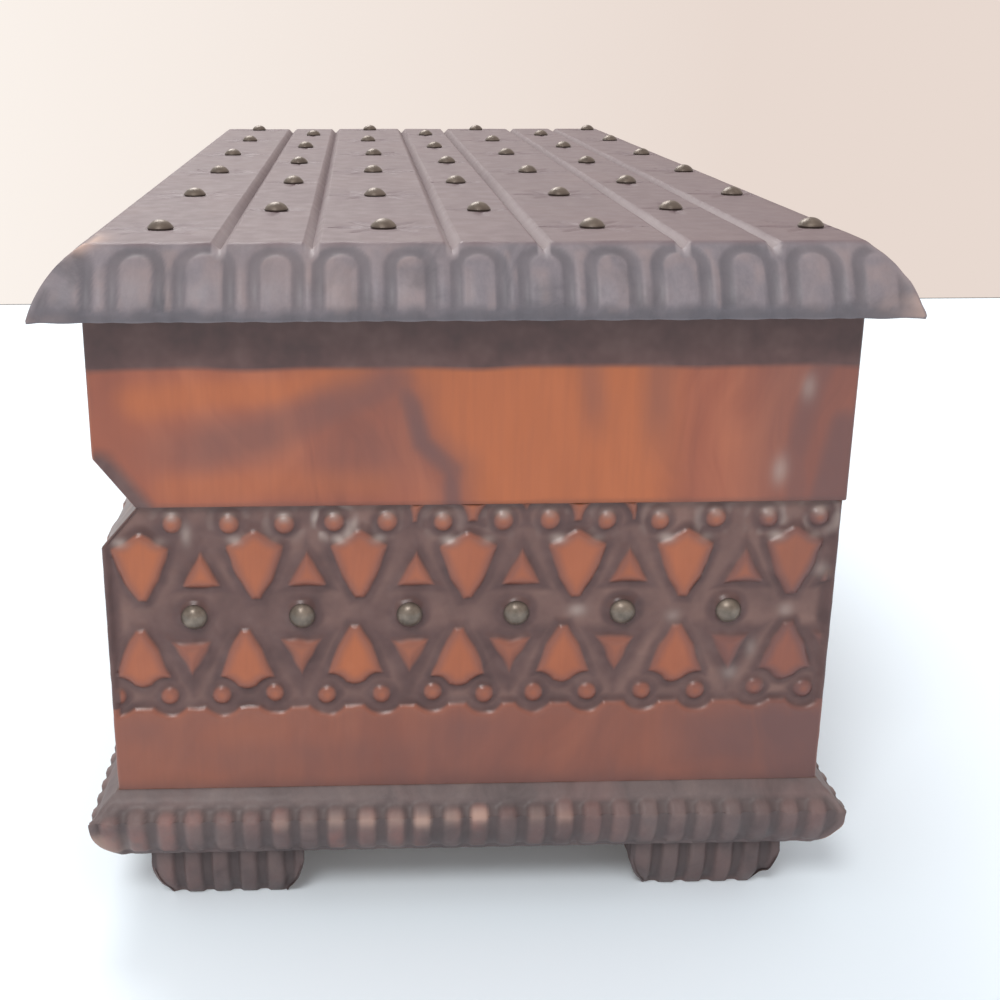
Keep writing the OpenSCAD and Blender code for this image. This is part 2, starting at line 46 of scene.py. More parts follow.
# Lengths below are in millimetres and become metres when a mesh is made
MM = 0.001
SHARP = math.radians(55)

# Camera, fitted to the photograph's perspective
CAMERA_PLACE = (437.44, -22.52, 181.97)
CAMERA_TURN = -0.03757
CAMERA_DIP = 0.31776
CAMERA_ROLL = 0.00125
CAMERA_LENS = 51.62
CAMERA_SHIFT = (0.0869, 0.0022)

# Case and lid
CASE_X, CASE_Y = 165.0, 75.0
WALL = 12.0
LID_PROUD = 0.55
WALL_LOW, WALL_HIGH = 28.7, 91.55
RAIL_LOW, RAIL_HIGH = 91.85, 130.5
TOP = 144.0
EDGE_EASE = 0.15
CORNER_R = 0.8
CORNER_FAN = 25.0

# Finger groove: y and z of both ends of each bevel
CASE_BEVEL = ((-75.0, 83.1), (-67.4, 91.7))
LID_BEVEL = ((-67.55, 91.7), (-75.55, 102.0))

# Edges of the lid board and the base board, as reach past the case and height
LID_EDGE = ((-0.6, 144.0), (9.3, 130.5), 1.6)
BASE_EDGE = ((5.7, 23.4), (0.2, 13.0), 1.4)
BASE_BEVEL = (5.65, 5.3)
FOOT_HALF, FOOT_TOP = 16.5, 13.0
FOOT_EDGE = ((FOOT_HALF, 11.0), (13.1, 0.0), 1.2)
FOOT_X, FOOT_Y = 147.0, 52.5

# Carved band around the case. Heights are counted from its line of studs.
STUD_PITCH = 22.0
STUD_Z = 68.1
LONG_STUDS = np.arange(-143.0, 144.0, STUD_PITCH)
END_STUDS = np.arange(-57.0, 54.0, STUD_PITCH)
CARVE_D, CARVE_RIM = 1.0, 1.5
RING_UP, RING_DOWN, RING_R = 19.8, 18.1, 4.4
DOT_R, SEAT_R = 1.9, 2.9
BAND_LOW = -RING_DOWN - 2.6
KITE_TIP, KITE_TIP_HALF = 3.2, 0.9
KITE_WAIST, KITE_WAIST_HALF = 7.6, 3.5
KITE_SHOULDER, KITE_HALF = 14.0, 5.75
KITE_END = 2.3
TRIANGLE_AT, TRIANGLE_HALF, TRIANGLE_H = 6.2, 3.9, 7.4
NOTCH_AT = 19.8

# Where the figures of the right end lie along it, listed one by one
HAND_LAID = {
    "kite_up": (-67.4, -44.3, -23.2, -1.0, 21.3, 43.5, 66.0),
    "kite_down": (-68.3, -46.8, -24.2, -2.7, 19.0, 42.7, 66.0),
    "triangle_up": (-77.5, -55.3, -33.8, -11.6, 10.0, 32.0, 56.0, 76.0),
    "triangle_down": (-78.5, -58.0, -35.3, -13.0, 7.9, 30.0, 54.0, 76.0),
    "dot_up": (-60.7, -49.3, -38.2, -28.2, -17.4, -6.3, 6.0, 15.4, 27.1, 38.0, 49.3, 60.0, 70.5),
    "dot_down": (-73.8, -62.9, -52.1, -41.0, -30.2, -18.8, -8.2, 2.7, 13.0, 24.3, 36.0, 47.4, 60.0, 70.4),
}

# Other painted highlights in the band of the right end, as pale spots: place and height, size, strength
GLINT_SPOTS = (
    ((-58.0, 17.5), (1.0, 2.2), 0.5),
    ((21.8, 0.0), (1.7, 1.3), 0.6),
    ((41.8, -1.5), (1.5, 1.3), 0.35),
    ((65.4, -0.5), (1.5, 1.4), 0.45),
    ((58.7, -9.0), (1.2, 2.0), 0.35),
    ((54.6, -14.5), (1.6, 1.6), 0.45),
    ((72.0, 8.5), (1.6, 1.6), 0.4),
)

# Lid top
TOP_X, TOP_Y = 162.8, 73.0
BAND_SHIFT, BAND_PITCH, NARROW_W = 3.8, 44.0, 17.4
VGROOVE_W, VGROOVE_D = 3.0, 1.6
LID_STUD_PITCH, LID_STUD_SHIFT, LID_STRAY = 60.5, -8.5, 0.7
ARCH_PITCH, ARCH_PHASE = 12.75, -0.3
ARCH_HALF, ARCH_DOWN = 4.5, 1.7
FLUTE_PITCH, FLUTE_PHASE = 6.04, 1.9
FLUTE_TOP = 25.7
FOOT_PITCH, FOOT_PHASE = 6.0, -1.7

# How worn each ridge of the base is on the right end, by its number from the middle
WORN_RIDGES = {-7: 0.35, -6: 0.15, -5: 0.4, -4: 0.55, -3: 0.35, -2: 0.85, -1: 0.4, 0: 0.8, 2: 0.2, 3: 0.35}

# Studs, base screws, the seats of the hinge leaves and the lining
STUD_R, STUD_H = 2.7, 1.85
SCREW_R, SCREW_RISE, SLOT_HALF = 2.05, 0.3, 0.32
SEAT_X, SEAT_HALF, SEAT_Y = 103.0, 15.05, (65.45, 80.0)
FELT_X, FELT_Y, FELT_T = 152.4, 62.4, 1.15

# How far in from the front the finger groove still narrows the ends
GROOVE_REACH = 22.0

# Steps of the grids that the surfaces are made on
END_STEP, LONG_STEP, RAIL_STEP, HIDDEN_STEP = 0.36, 0.426, 0.8, 6.0
LID_EDGE_STEP, BASE_EDGE_STEP, FOOT_STEP = 0.47, 0.5, 0.42
TOP_STEP_X, TOP_STEP_Y, CHIP_STEP = 1.48, 1.45, 0.82

# How far a figure of the band reaches along it
FIGURE_REACH = 9


def smooth(low, high, value):
    t = np.clip((value - low) / (high - low), 0, 1)
    return t * t * (3 - 2 * t)


def fade(low, high, value):
    return 1 - smooth(low, high, value)


def most(*values):
    """The highest of several values at each point."""
    return reduce(np.maximum, values)


def wobble(u, v, seed):
    """Smooth noise from -1 to 1, one cell to a unit of u and v."""
    table = np.random.default_rng(seed).random((61, 61)) * 2 - 1
    i, j = np.floor(u).astype(int), np.floor(v).astype(int)
    fu, fv = smooth(0, 1, u - i), smooth(0, 1, v - j)
    low = table[i % 61, j % 61] * (1 - fu) + table[(i + 1) % 61, j % 61] * fu
    high = table[i % 61, (j + 1) % 61] * (1 - fu) + table[(i + 1) % 61, (j + 1) % 61] * fu
    return low * (1 - fv) + high * fv


def arc(start, end, swell, steps):
    """Points from start to end that swell to the left of the way, with their outward normals."""
    p, q = np.array(start), np.array(end)
    along = (q - p) / np.linalg.norm(q - p)
    side = np.array([-along[1], along[0]])
    half = np.linalg.norm(q - p) / 2
    r = (half * half + swell * swell) / (2 * swell)
    centre = (p + q) / 2 - side * (r - swell)
    reach = math.asin(half / r)
    turn = np.linspace(-reach, reach, steps + 1)
    normals = np.cos(turn)[:, None] * side + np.sin(turn)[:, None] * along
    return centre + r * normals, normals


def make_piece(name, points, blocks, materials, attributes=None, indices=None):
    """A mesh object from points in millimetres and blocks of faces, one array for each face size."""
    mesh = bpy.data.meshes.new(name)
    loops = np.concatenate([np.asarray(b).ravel() for b in blocks])
    sizes = np.concatenate([np.full(len(b), np.asarray(b).shape[1]) for b in blocks])
    mesh.vertices.add(len(points))
    mesh.vertices.foreach_set("co", (np.asarray(points) * MM).astype(np.float32).ravel())
    mesh.loops.add(len(loops))
    mesh.loops.foreach_set("vertex_index", loops.astype(np.int32))
    mesh.polygons.add(len(sizes))
    starts = np.concatenate([[0], np.cumsum(sizes)[:-1]])
    mesh.polygons.foreach_set("loop_start", starts.astype(np.int32))
    for material in materials:
        mesh.materials.append(material)
    if indices is not None:
        mesh.polygons.foreach_set("material_index", np.asarray(indices).astype(np.int32))
    mesh.update(calc_edges=True)
    for key, values in (attributes or {}).items():
        layer = mesh.attributes.new(key, "FLOAT", "POINT")
        layer.data.foreach_set("value", np.asarray(values).astype(np.float32).ravel())
    mesh.validate()
    mesh.polygons.foreach_set("use_smooth", np.ones(len(mesh.polygons), bool))
    mesh.set_sharp_from_angle(angle=SHARP)
    obj = bpy.data.objects.new(name, mesh)
    bpy.context.scene.collection.objects.link(obj)
    return obj


def ring_quads(rows, columns):
    """Quads of a closed grid whose rows are rings. Rows rise and rings run anticlockwise, seen from above."""
    i = np.arange(rows - 1)[:, None] * columns
    j = np.arange(columns)[None, :]
    k = (j + 1) % columns
    return np.stack([i + j, i + k, i + columns + k, i + columns + j], -1).reshape(-1, 4)


def caps(count, rows):
    """The lowest and the highest ring of a grid as one flat face each."""
    return np.arange(count)[::-1][None, :], (np.arange(count) + count * (rows - 1))[None, :]


def closed_grid(name, points, materials, attributes, indices=None):
    """A piece from a grid of rings. Its flat top and bottom have the second material."""
    rows, count = points.shape[:2]
    quads = ring_quads(rows, count)
    if indices is None:
        indices = np.zeros(len(quads))
    blocks = [quads, *caps(count, rows)]
    indices = np.concatenate([indices, [1, 1]])
    return make_piece(name, points.reshape(-1, 3), blocks, materials, attributes, indices)


# Carved band

def beyond(s, h, corners):
    """Distance outside a convex outline with anticlockwise corners, less than 0 inside it."""
    gap = np.full_like(s, -99.0)
    for p, q in zip(corners, corners[1:] + corners[:1]):
        along = np.array(q) - np.array(p)
        gap = np.maximum(gap, ((s - p[0]) * along[1] - (h - p[1]) * along[0]) / np.linalg.norm(along))
    return gap


def kite_gap(s, h, row):
    """Distance outside a kite that points at the line of studs. row is the height of its rings."""
    end = row - KITE_END
    half = [(KITE_TIP_HALF, KITE_TIP), (KITE_WAIST_HALF, KITE_WAIST), (KITE_HALF, KITE_SHOULDER),
            (KITE_HALF, max(end - 2.8, KITE_SHOULDER + 0.2)), (0.5, end + 0.3)]
    gap = beyond(s, h, half + [(-x, y) for x, y in half[::-1]])
    for side in (-1, 1):
        gap = np.maximum(gap, RING_R - np.hypot(s - side * STUD_PITCH / 4, h - row))
    return gap


def triangle_gap(s, h, _):
    return beyond(s, h, [(-TRIANGLE_HALF, TRIANGLE_AT), (TRIANGLE_HALF, TRIANGLE_AT),
                         (0, TRIANGLE_AT + TRIANGLE_H)])


def dot_gap(s, h, row):
    return np.hypot(s, h - row) - DOT_R


FIGURES = {"kite": kite_gap, "triangle": triangle_gap, "dot": dot_gap}


def band_face(studs, end, seed, notched, places=None):
    """The figures that are left standing in the band on one side of the case."""
    rng = np.random.default_rng(seed)
    every = np.concatenate([[studs[0] - STUD_PITCH], studs, [studs[-1] + STUD_PITCH]])
    middles = np.append(every - STUD_PITCH / 2, every[-1] + STUD_PITCH / 2)
    rings = np.concatenate([every - STUD_PITCH / 4, every + STUD_PITCH / 4])
    regular = {"kite": middles, "triangle": every, "dot": rings}
    figures = []
    for shape, usual in regular.items():
        for way, row in (("up", RING_UP), ("down", RING_DOWN)):
            if places:
                laid = np.array(places[f"{shape}_{way}"])
            else:
                laid = usual + rng.normal(0, 0.35, len(usual))
            for s in laid:
                figures.append((shape, way, s, rng.normal(0, 0.25), row))
    return {"studs": studs, "figures": figures, "end": end, "notched": notched, "seed": seed,
            "rubbed": places is not None}


def spot(s, h, place, size):
    return np.exp(-((s - place[0]) / size[0]) ** 2 - ((h - place[1]) / size[1]) ** 2)


def near(s, place):
    """Columns of a grid that come within a figure's reach of a place."""
    return (s.max(0) > place - FIGURE_REACH) & (s.min(0) < place + FIGURE_REACH)


def band_gap(s, h, face):
    """Distance outside the figures and the plain wood around the band, less than 0 on them."""
    gap = np.full_like(s, 99.0)
    low_rings = np.full_like(s, -99.0)
    high_rings = np.full_like(s, -99.0)
    for shape, way, place, lift, row in face["figures"]:
        use = near(s, place)
        u = s[:, use] - place
        v = (h[:, use] if way == "up" else -h[:, use]) - lift
        softness = 0.6 if shape == "triangle" and way == "down" else 1.0
        gap[:, use] = np.minimum(gap[:, use], softness * FIGURES[shape](u, v, row))
        if shape == "dot" and way == "down":
            low_rings[:, use] = np.maximum(low_rings[:, use], RING_R - np.hypot(u, v - row))
        if shape == "dot" and way == "up":
            high_rings[:, use] = np.maximum(high_rings[:, use], RING_R + 0.7 - np.hypot(u, v - row))
    for place in face["studs"]:
        use = near(s, place)
        gap[:, use] = np.minimum(gap[:, use], np.hypot(s[:, use] - place, h[:, use]) - SEAT_R)
    gap = np.minimum(gap, np.maximum(h - BAND_LOW, low_rings))
    first, last = face["notched"]
    teeth = most(high_rings, first - s, s - last)
    gap = np.minimum(gap, most(teeth, NOTCH_AT - h))
    return np.minimum(gap, face["end"] - CARVE_RIM - np.abs(s))


def painted_glints(s, h, face):
    """Painted highlights: pale glints on the dots, beside their rings and on the shoulders of the upper
    kites, and the other listed spots.
    """
    pale = np.zeros_like(s)
    # Only the right end, whose figures are listed, gets these painted highlights
    if not face["rubbed"]:
        return pale
    rng = np.random.default_rng(face["seed"] + 70)
    for shape, way, place, lift, row in face["figures"]:
        amount = rng.random()
        if way == "down" or shape == "triangle":
            continue
        use = near(s, place)
        u, v = s[:, use] - place, h[:, use] - lift
        if shape == "kite":
            mark = (0.5 + 0.3 * amount) * spot(u, v, (-4.0, KITE_SHOULDER + 2.0), (1.5, 0.9))
            mark = np.maximum(mark, 0.6 * amount * spot(u, v, (4.0, KITE_SHOULDER + 2.0), (1.4, 0.9)))
        else:
            r = np.hypot(u, v - row)
            strength = 0.15 + 0.75 * math.exp(-((place + 28) / 6) ** 2)
            strength += 0.35 * float(smooth(44, 56, np.array(place)))
            mark = strength * np.exp(-((r - 3.7) / 1.0) ** 2) * np.abs(u) / (r + 0.1)
            mark *= smooth(-0.15, 0.55, wobble(s[:, use] / 1.9, h[:, use] / 2.4, face["seed"] + 60))
            mark = np.maximum(mark, (0.35 + 0.4 * amount) * spot(u, v, (0, row + 1.5), (1.3, 1.0)))
        pale[:, use] = np.maximum(pale[:, use], mark)
    for place, size, strength in GLINT_SPOTS:
        pale = np.maximum(pale, strength * spot(s, h, place, size))
    return pale


def band_carving(s, z, face):
    """Depth of the carving, the marks of its stain and its painted highlights on a side, by place along it
    and height.
    """
    h = z - STUD_Z
    seed = face["seed"]
    clean = band_gap(s, h, face)
    gap = clean + 0.2 * wobble(s / 2.6, z / 2.6, seed + 42)
    depth = CARVE_D * (0.85 * smooth(-0.9, 0.6, gap) + 0.15 * smooth(0.5, 1.8, gap))
    seat = np.zeros_like(s)
    for place in face["studs"]:
        use = near(s, place)
        r = np.hypot(s[:, use] - place, h[:, use])
        seat[:, use] += fade(3.0, 5.0, r)
    stain = smooth(-0.5, 0.4, gap)
    depth += 0.06 * (1 + wobble(s / 2.3, z / 2.3, seed + 40)) * (1 - stain)
    depth += 0.09 * (1 + wobble(s / 1.6, z / 1.6, seed + 41)) * stain
    inside = smooth(BAND_LOW - 0.3, BAND_LOW + 0.3, h)
    rim = smooth(-0.8, 0.0, np.abs(s) - face["end"] + CARVE_RIM)
    stain = most(stain, rim * inside, smooth(0, 0.4, seat))
    patch = smooth(-0.4, 0.8, wobble(s / 7, z / 6, seed + 43))
    far = smooth(-40, 60, s) if face["end"] == CASE_Y else 0.5
    earth = smooth(0.6, 2.4, gap) * (1 - 0.8 * seat) * (0.25 + 0.5 * patch + 0.35 * far)
    figure = (0.08 + 0.55 * smooth(-2.6, -0.2, clean)) * inside
    figure += (1 - inside) * (0.6 + 0.14 * wobble(s / 17, z / 6, seed + 44))
    if face["end"] == CASE_Y:
        figure += 0.36 * smooth(40, 64, s)
    return depth, {"burn": stain, "earth": earth, "figure": figure, "pale": painted_glints(s, h, face)}


SIDES = {
    "right": band_face(END_STUDS, CASE_Y, 11, (-13.0, 33.0), HAND_LAID),
    "left": band_face(END_STUDS, CASE_Y, 12, (-40.0, 50.0)),
    "front": band_face(LONG_STUDS, CASE_X, 13, (-120.0, 120.0)),
    "back": band_face(LONG_STUDS, CASE_X, 14, (-120.0, 120.0)),
}


# Blocks with carved outer sides

NORMALS = {"front": (0, -1), "right": (1, 0), "back": (0, 1), "left": (-1, 0)}
ORDER = ("front", "right", "back", "left")


def plan_loop(box, outer, step):
    """The outline of a block from above: places, normals and whether they are on an outer side."""
    x0, x1, y0, y1 = box
    corners = ((x0, y0), (x1, y0), (x1, y1), (x0, y1))
    places, normals, shown = [], [], []
    for k, side in enumerate(ORDER):
        start, end = np.array(corners[k]), np.array(corners[(k + 1) % 4])
        before, after = ORDER[k - 1], ORDER[(k + 1) % 4]
        along = (end - start) / np.linalg.norm(end - start)
        is_outer = side in outer
        if is_outer and before in outer:
            start = start + along * CORNER_R
        if is_outer and after in outer:
            end = end - along * CORNER_R
        length = np.linalg.norm(end - start)
        count = max(1, round(length / (step if is_outer else HIDDEN_STEP)))
        for i in range(count):
            places.append(start + along * length * i / count)
            joins = i == 0 and not is_outer and before in outer
            normals.append(NORMALS[before if joins else side])
            shown.append(1.0 if is_outer or joins else 0.0)
        if is_outer and after in outer:
            n0, n1 = np.array(NORMALS[side]), np.array(NORMALS[after])
            centre = end - n0 * CORNER_R
            for i in range(4):
                a = i / 4 * math.pi / 2
                n = n0 * math.cos(a) + n1 * math.sin(a)
                places.append(centre + n * CORNER_R)
                normals.append(n)
                shown.append(1.0)
    return np.array(places), np.array(normals), np.array(shown)


def bevel_reach(z, bevel):
    """How far the finger groove pushes the front face back at a height."""
    (ya, za), (yb, zb) = bevel
    t = np.clip((z - za) / (zb - za), 0, 1)
    return ya + (yb - ya) * t - min(ya, yb)


def block(name, box, outer, levels, bevel, squeeze, carve, step, materials):
    """A closed block that stands on its lowest level, with its outer sides carved."""
    places, normals, shown = plan_loop(box, outer, step)

    def at_all_levels(values):
        return np.repeat(values[None, :], len(levels), 0)

    z = np.repeat(levels[:, None], len(places), 1)
    x, y = at_all_levels(places[:, 0]), at_all_levels(places[:, 1])
    nx, ny = at_all_levels(normals[:, 0]), at_all_levels(normals[:, 1])
    if bevel is not None:
        push = np.clip(1 - (y - box[2]) / squeeze, 0, 1)
        y = y + bevel_reach(z, bevel) * push
    depth, attributes = carve(x, y, z, nx, ny)
    depth = depth * shown
    eased = ((z < levels[0] + 0.01) & (levels[0] > WALL_LOW)) | (z > levels[-1] - 0.01)
    depth = np.where(eased, np.maximum(depth, EDGE_EASE * shown), depth)
    points = np.stack([x - nx * depth, y - ny * depth, z], -1)
    plain = (shown == 0) & (np.roll(shown, -1) == 0)
    attributes = {key: value if key == "end" else value * shown for key, value in attributes.items()}
    return closed_grid(name, points, materials, attributes, np.tile(plain, len(levels) - 1))


def case_carving(x, y, z, nx, ny):
    depth = np.zeros_like(x)
    marks = {key: np.zeros_like(x) for key in ("burn", "earth", "figure", "pale")}
    for side, (sx, sy) in NORMALS.items():
        weight = np.clip(nx * sx + ny * sy, 0, 1) ** 2
        use = weight.max(0) > 0.001
        if not use.any():
            continue
        s = (y if sx else x)[:, use]
        cut, found = band_carving(s, z[:, use], SIDES[side])
        if side == "front":
            plain = smooth(CASE_BEVEL[0][1] - 0.2, CASE_BEVEL[0][1] + 0.4, z[:, use])
            cut = np.maximum(cut - bevel_reach(z[:, use], CASE_BEVEL), 0.04 * plain)
            found["burn"] = np.maximum(found["burn"], 0.8 * plain)
        depth[:, use] += cut * weight[:, use]
        for key, value in found.items():
            marks[key][:, use] += value * weight[:, use]
    end = np.clip(np.abs(nx), 0, 1) ** 2
    along = np.where(end > 0.5, y, x)
    # Painted shade at the foot of the walls, in the crease where they meet the base board
    foot = np.exp(-(z - WALL_LOW) / (2.4 + 0.8 * wobble(along / 9, z * 0, 21)))
    corner = (end > 0.02) & (end < 0.98)
    marks["burn"] = most(marks["burn"], 0.5 * foot, 0.9 * corner * (z > STUD_Z + BAND_LOW))
    marks["warm"] = 0.5 + 0.5 * wobble(along / 30, z / 20, 22)
    marks["end"] = end
    return depth, marks


def to_segment(s, z, p, q):
    along = np.array(q) - np.array(p)
    t = np.clip(((s - p[0]) * along[0] + (z - p[1]) * along[1]) / (along @ along), 0, 1)
    return np.hypot(s - p[0] - t * along[0], z - p[1] - t * along[1])


def stroke(s, h, points, width):
    """Strength of a soft stroke through points."""
    value = np.zeros_like(s)
    for p, q in zip(points[:-1], points[1:]):
        value = np.maximum(value, 1 - smooth(0.1 * width, width, to_segment(s, h, p, q)))
    return value


def end_figure(s, h):
    """Dark swirls, the warm zone and pale flecks in the veneer of an end of the lid, h above its joint."""
    u = s + 1.1 * wobble(s / 11, h / 11, 31)
    v = h + 1.1 * wobble(s / 13, h / 9, 32)
    sweep = stroke(u, v, [(-70, 11.0), (-52, 12.5), (-42, 14.5), (-32, 18.8), (-16, 25.0)], 7.5)
    crack = [(-18, 32), (-16.3, 27), (-13, 20), (-11.2, 13), (-7.8, 9.7), (-5, 7), (-3.5, -2)]
    dark = most(
        0.62 * sweep * smooth(-74, -50, s),
        0.45 * spot(u, v, (-22, 13), (11, 9)),
        0.42 * spot(u, v, (-17, 21), (8, 9)),
        0.9 * stroke(u, h, crack, 4.2) * (1 - 0.5 * smooth(20, 28, h)),
        0.38 * stroke(u, h, crack, 8.0),
        0.4 * stroke(u, h, [(22.0, 32), (24.5, 8)], 4.4) * smooth(10, 22, h),
        0.42 * stroke(u, h, [(36, 32), (37.5, 2)], 5.0) * smooth(4, 20, h),
        0.45 * stroke(u, h, [(60, 32), (59, 9)], 4.6) * smooth(10, 20, h),
        0.8 * stroke(u, h, [(68.5, 32), (65.5, 17.5), (64.0, 9), (65, -3)], 6.2),
        0.95 * smooth(67.5, 73, s + 0.18 * (20 - h)) * fade(16, 24, h),
        0.5 * smooth(48, 62, s),
    )
    warm = most(
        0.9 * smooth(-14, -2, s + 0.5 * (h - 14)) * fade(33, 45, s),
        0.75 * stroke(u, v, [(-66, 22), (-45, 23.5), (-24, 26.5)], 6.0),
        0.45 * stroke(u, v, [(-60, 4), (-20, 5)], 6.0),
    )
    pale = most(0.42 * spot(s, h, (65.6, 23.6), (1.4, 2.6)), 0.55 * spot(s, h, (61.2, 6.6), (1.5, 2.9)))
    return dark, warm, pale


def rail_carving(x, y, z, nx, ny):
    end = np.clip(np.abs(nx), 0, 1) ** 2
    along = np.where(end > 0.5, y * np.sign(nx + 0.001), x)
    h = z - RAIL_LOW
    lower = 10.7 + 0.3 * wobble(along / 11, z * 0, 51)
    rim = np.where(end > 0.5, CASE_Y + LID_PROUD, CASE_X + LID_PROUD) - np.abs(along)
    groove = y + CASE_Y + LID_PROUD - bevel_reach(z, LID_BEVEL)
    stain = most(
        # The dark strip under the lid's overhang: partly stain, partly the painted shadow of the overhang
        0.96 * fade(lower - 0.9, lower + 1.1, RAIL_HIGH - z),
        0.3 * np.exp(-rim / (1.0 + 0.5 * wobble(along * 0, z / 6, 53))),
        0.4 * np.exp(-h / (0.9 + 0.5 * wobble(along / 8, z * 0, 54))),
        0.7 * np.clip(-ny, 0, 1) * fade(101.4, 102.4, z),
        0.95 * end * fade(1.0, 7.0, groove) * fade(9, 14, h),
    )
    dark, warm, pale = end_figure(along, h)
    figure = np.where(end > 0.5, dark, 0.4 * smooth(0.2, 0.9, wobble(x / 35, z / 7, 55)))
    warm = np.where(end > 0.5, warm, 0.5 + 0.5 * wobble(x / 40, z / 15, 57))
    depth = 0.04 * (1 + wobble(along / 9, z / 9, 56))
    return depth, {"burn": stain, "end": end, "warm": warm, "figure": figure, "pale": pale * (end > 0.5)}


# Boards with a shaped edge

def edge_rows(edge, steps):
    """Reach, height and normal of points on a swelling edge, from the bottom."""
    points, normals = arc(*edge, steps)
    return np.concatenate([points[::-1], normals[::-1]], 1)


def edge_grid(half_x, half_y, rows, step):
    """Places on an edge that runs round a rectangle. rows holds reach, height and normal."""
    reach, height, out, up = (rows[:, i][:, None] for i in range(4))
    parts = []
    for side in ORDER:
        n = np.array(NORMALS[side], float)
        t = np.array([-n[1], n[0]])
        half_n, half_t = (half_x, half_y) if side in ("left", "right") else (half_y, half_x)
        count = round(2 * half_t / step)
        s = (-half_t + 2 * half_t * np.arange(count) / count)[None, :]
        fan = min(CORNER_FAN, half_t)
        actual = s + reach * np.sign(s) * np.clip((np.abs(s) - half_t + fan) / fan, 0, 1)
        xy = n * (half_n + reach)[..., None] + t * actual[..., None]
        ones = np.ones_like(actual)
        parts.append({
            "x": xy[..., 0], "y": xy[..., 1], "z": height * ones, "n": n[0] * ones, "m": n[1] * ones,
            "out": out * ones, "up": up * ones, "s": actual, "rim": (half_t + reach) - np.abs(actual),
            "side": ORDER.index(side) * ones, "row": np.arange(len(rows))[:, None] * ones,
        })
    g = SimpleNamespace(**{key: np.concatenate([p[key] for p in parts], 1) for key in parts[0]})
    g.right = g.side == ORDER.index("right")
    g.is_end = g.right | (g.side == ORDER.index("left"))
    return g


def pushed_in(g, depth):
    """Grid points after a cut of this depth along the normals of the edge."""
    return np.stack([g.x - g.n * g.out * depth, g.y - g.m * g.out * depth, g.z - g.up * depth], -1)


# Lid board

def vgroove_lines():
    return [BAND_SHIFT + band * BAND_PITCH + side * NARROW_W / 2 for band in (-1, 0, 1) for side in (-1, 1)]


def lid_stud_places():
    places = []
    for row in range(7):
        y = BAND_SHIFT + (row - 3) * BAND_PITCH / 2
        count = 6 if row % 2 == 0 else 5
        first = LID_STUD_SHIFT - LID_STUD_PITCH * (count - 1) / 2
        for i in range(count):
            a = math.radians(137 * i + 71 * row)
            places.append((first + LID_STUD_PITCH * i + LID_STRAY * math.cos(a),
                           y + LID_STRAY * math.sin(a), row % 2 == 0))
    return places


LID_STUDS = lid_stud_places()


def vgroove_depth(y):
    depth = np.zeros_like(y)
    for line in vgroove_lines():
        depth = np.maximum(depth, VGROOVE_D * np.clip(1 - np.abs(y - line) / (VGROOVE_W / 2), 0, 1))
    return depth


def leaf(u, v, length, width):
    """Depth from 0 to 1 of a leaf-shaped gouge that starts at u = 0 and runs along u."""
    t = np.clip(u / length, 0, 1)
    half = width / 2 * np.sin(math.pi * t ** 0.75)
    inside = (u > 0) & (u < length)
    return np.where(inside, np.clip(1 - np.abs(v) / np.maximum(half, 0.01), 0, 1) ** 0.7, 0)


def top_chips(x, y):
    """Chips cut beside the studs of the lid: long leaves on the wide bands, short ones on the narrow."""
    depth = np.zeros_like(x)
    for sx, sy, wide in LID_STUDS:
        use = (np.abs(x - sx) < 17) & (np.abs(y - sy) < 13)
        u, v = x[use] - sx, y[use] - sy
        cut = 0.2 * fade(2.9, 4.6, np.hypot(u, v))
        if wide:
            for side in (-1, 1):
                cut = np.maximum(cut, 0.55 * leaf(side * v - 2.6, u, 8.6, 3.8))
                for lean in (-1, 1):
                    a = math.radians(52) * lean
                    du = side * v * math.cos(a) + u * math.sin(a)
                    dv = -side * v * math.sin(a) + u * math.cos(a)
                    cut = np.maximum(cut, 0.35 * leaf(du - 3.4, dv, 8.5, 2.8))
        else:
            for side in (-1, 1):
                cut = np.maximum(cut, 0.5 * leaf(side * v - 2.6, u, 4.0, 2.6))
                cut = np.maximum(cut, 0.5 * leaf(side * u - 2.8, v, 9.0, 2.6))
        depth[use] = np.maximum(depth[use], cut)
    return depth


def swell(x, y):
    return 0.06 * (1 + wobble(x / 14, y / 9, 61))


def top_height(x, y):
    groove = vgroove_depth(y)
    chips = top_chips(x, y) * (groove < 0.01)
    return TOP - groove - chips - swell(x, y), groove, chips


def arch_cut(s, t, seed):
    """Depth of the arches along the lid's edge by place along it and distance down from the top."""
    index = np.round((s - ARCH_PHASE) / ARCH_PITCH)
    rng = np.random.default_rng(seed)
    stray = rng.normal(0, 0.22, 64)[(index.astype(int) + 32) % 64]
    grow = rng.normal(0, 0.18, 64)[(index.astype(int) + 32) % 64]
    u = s - ARCH_PHASE - index * ARCH_PITCH - stray
    spring = ARCH_DOWN + ARCH_HALF
    rho = np.where(t > spring, np.abs(u), np.hypot(u, t - spring)) - grow
    gouge = 0.5 * fade(0.3, 2.1, np.abs(rho - ARCH_HALF + 0.2))
    tongue = 0.12 * smooth(0.6, 2.2, np.abs(u)) * fade(2.2, 3.4, rho) * smooth(3.5, 6.0, t)
    foot = smooth(14.0, 16.8, t) * (0.35 * smooth(0.8, 2.6, np.abs(u)) + 0.35)
    return np.maximum(gouge, tongue) * smooth(0.0, 0.9, t) + foot


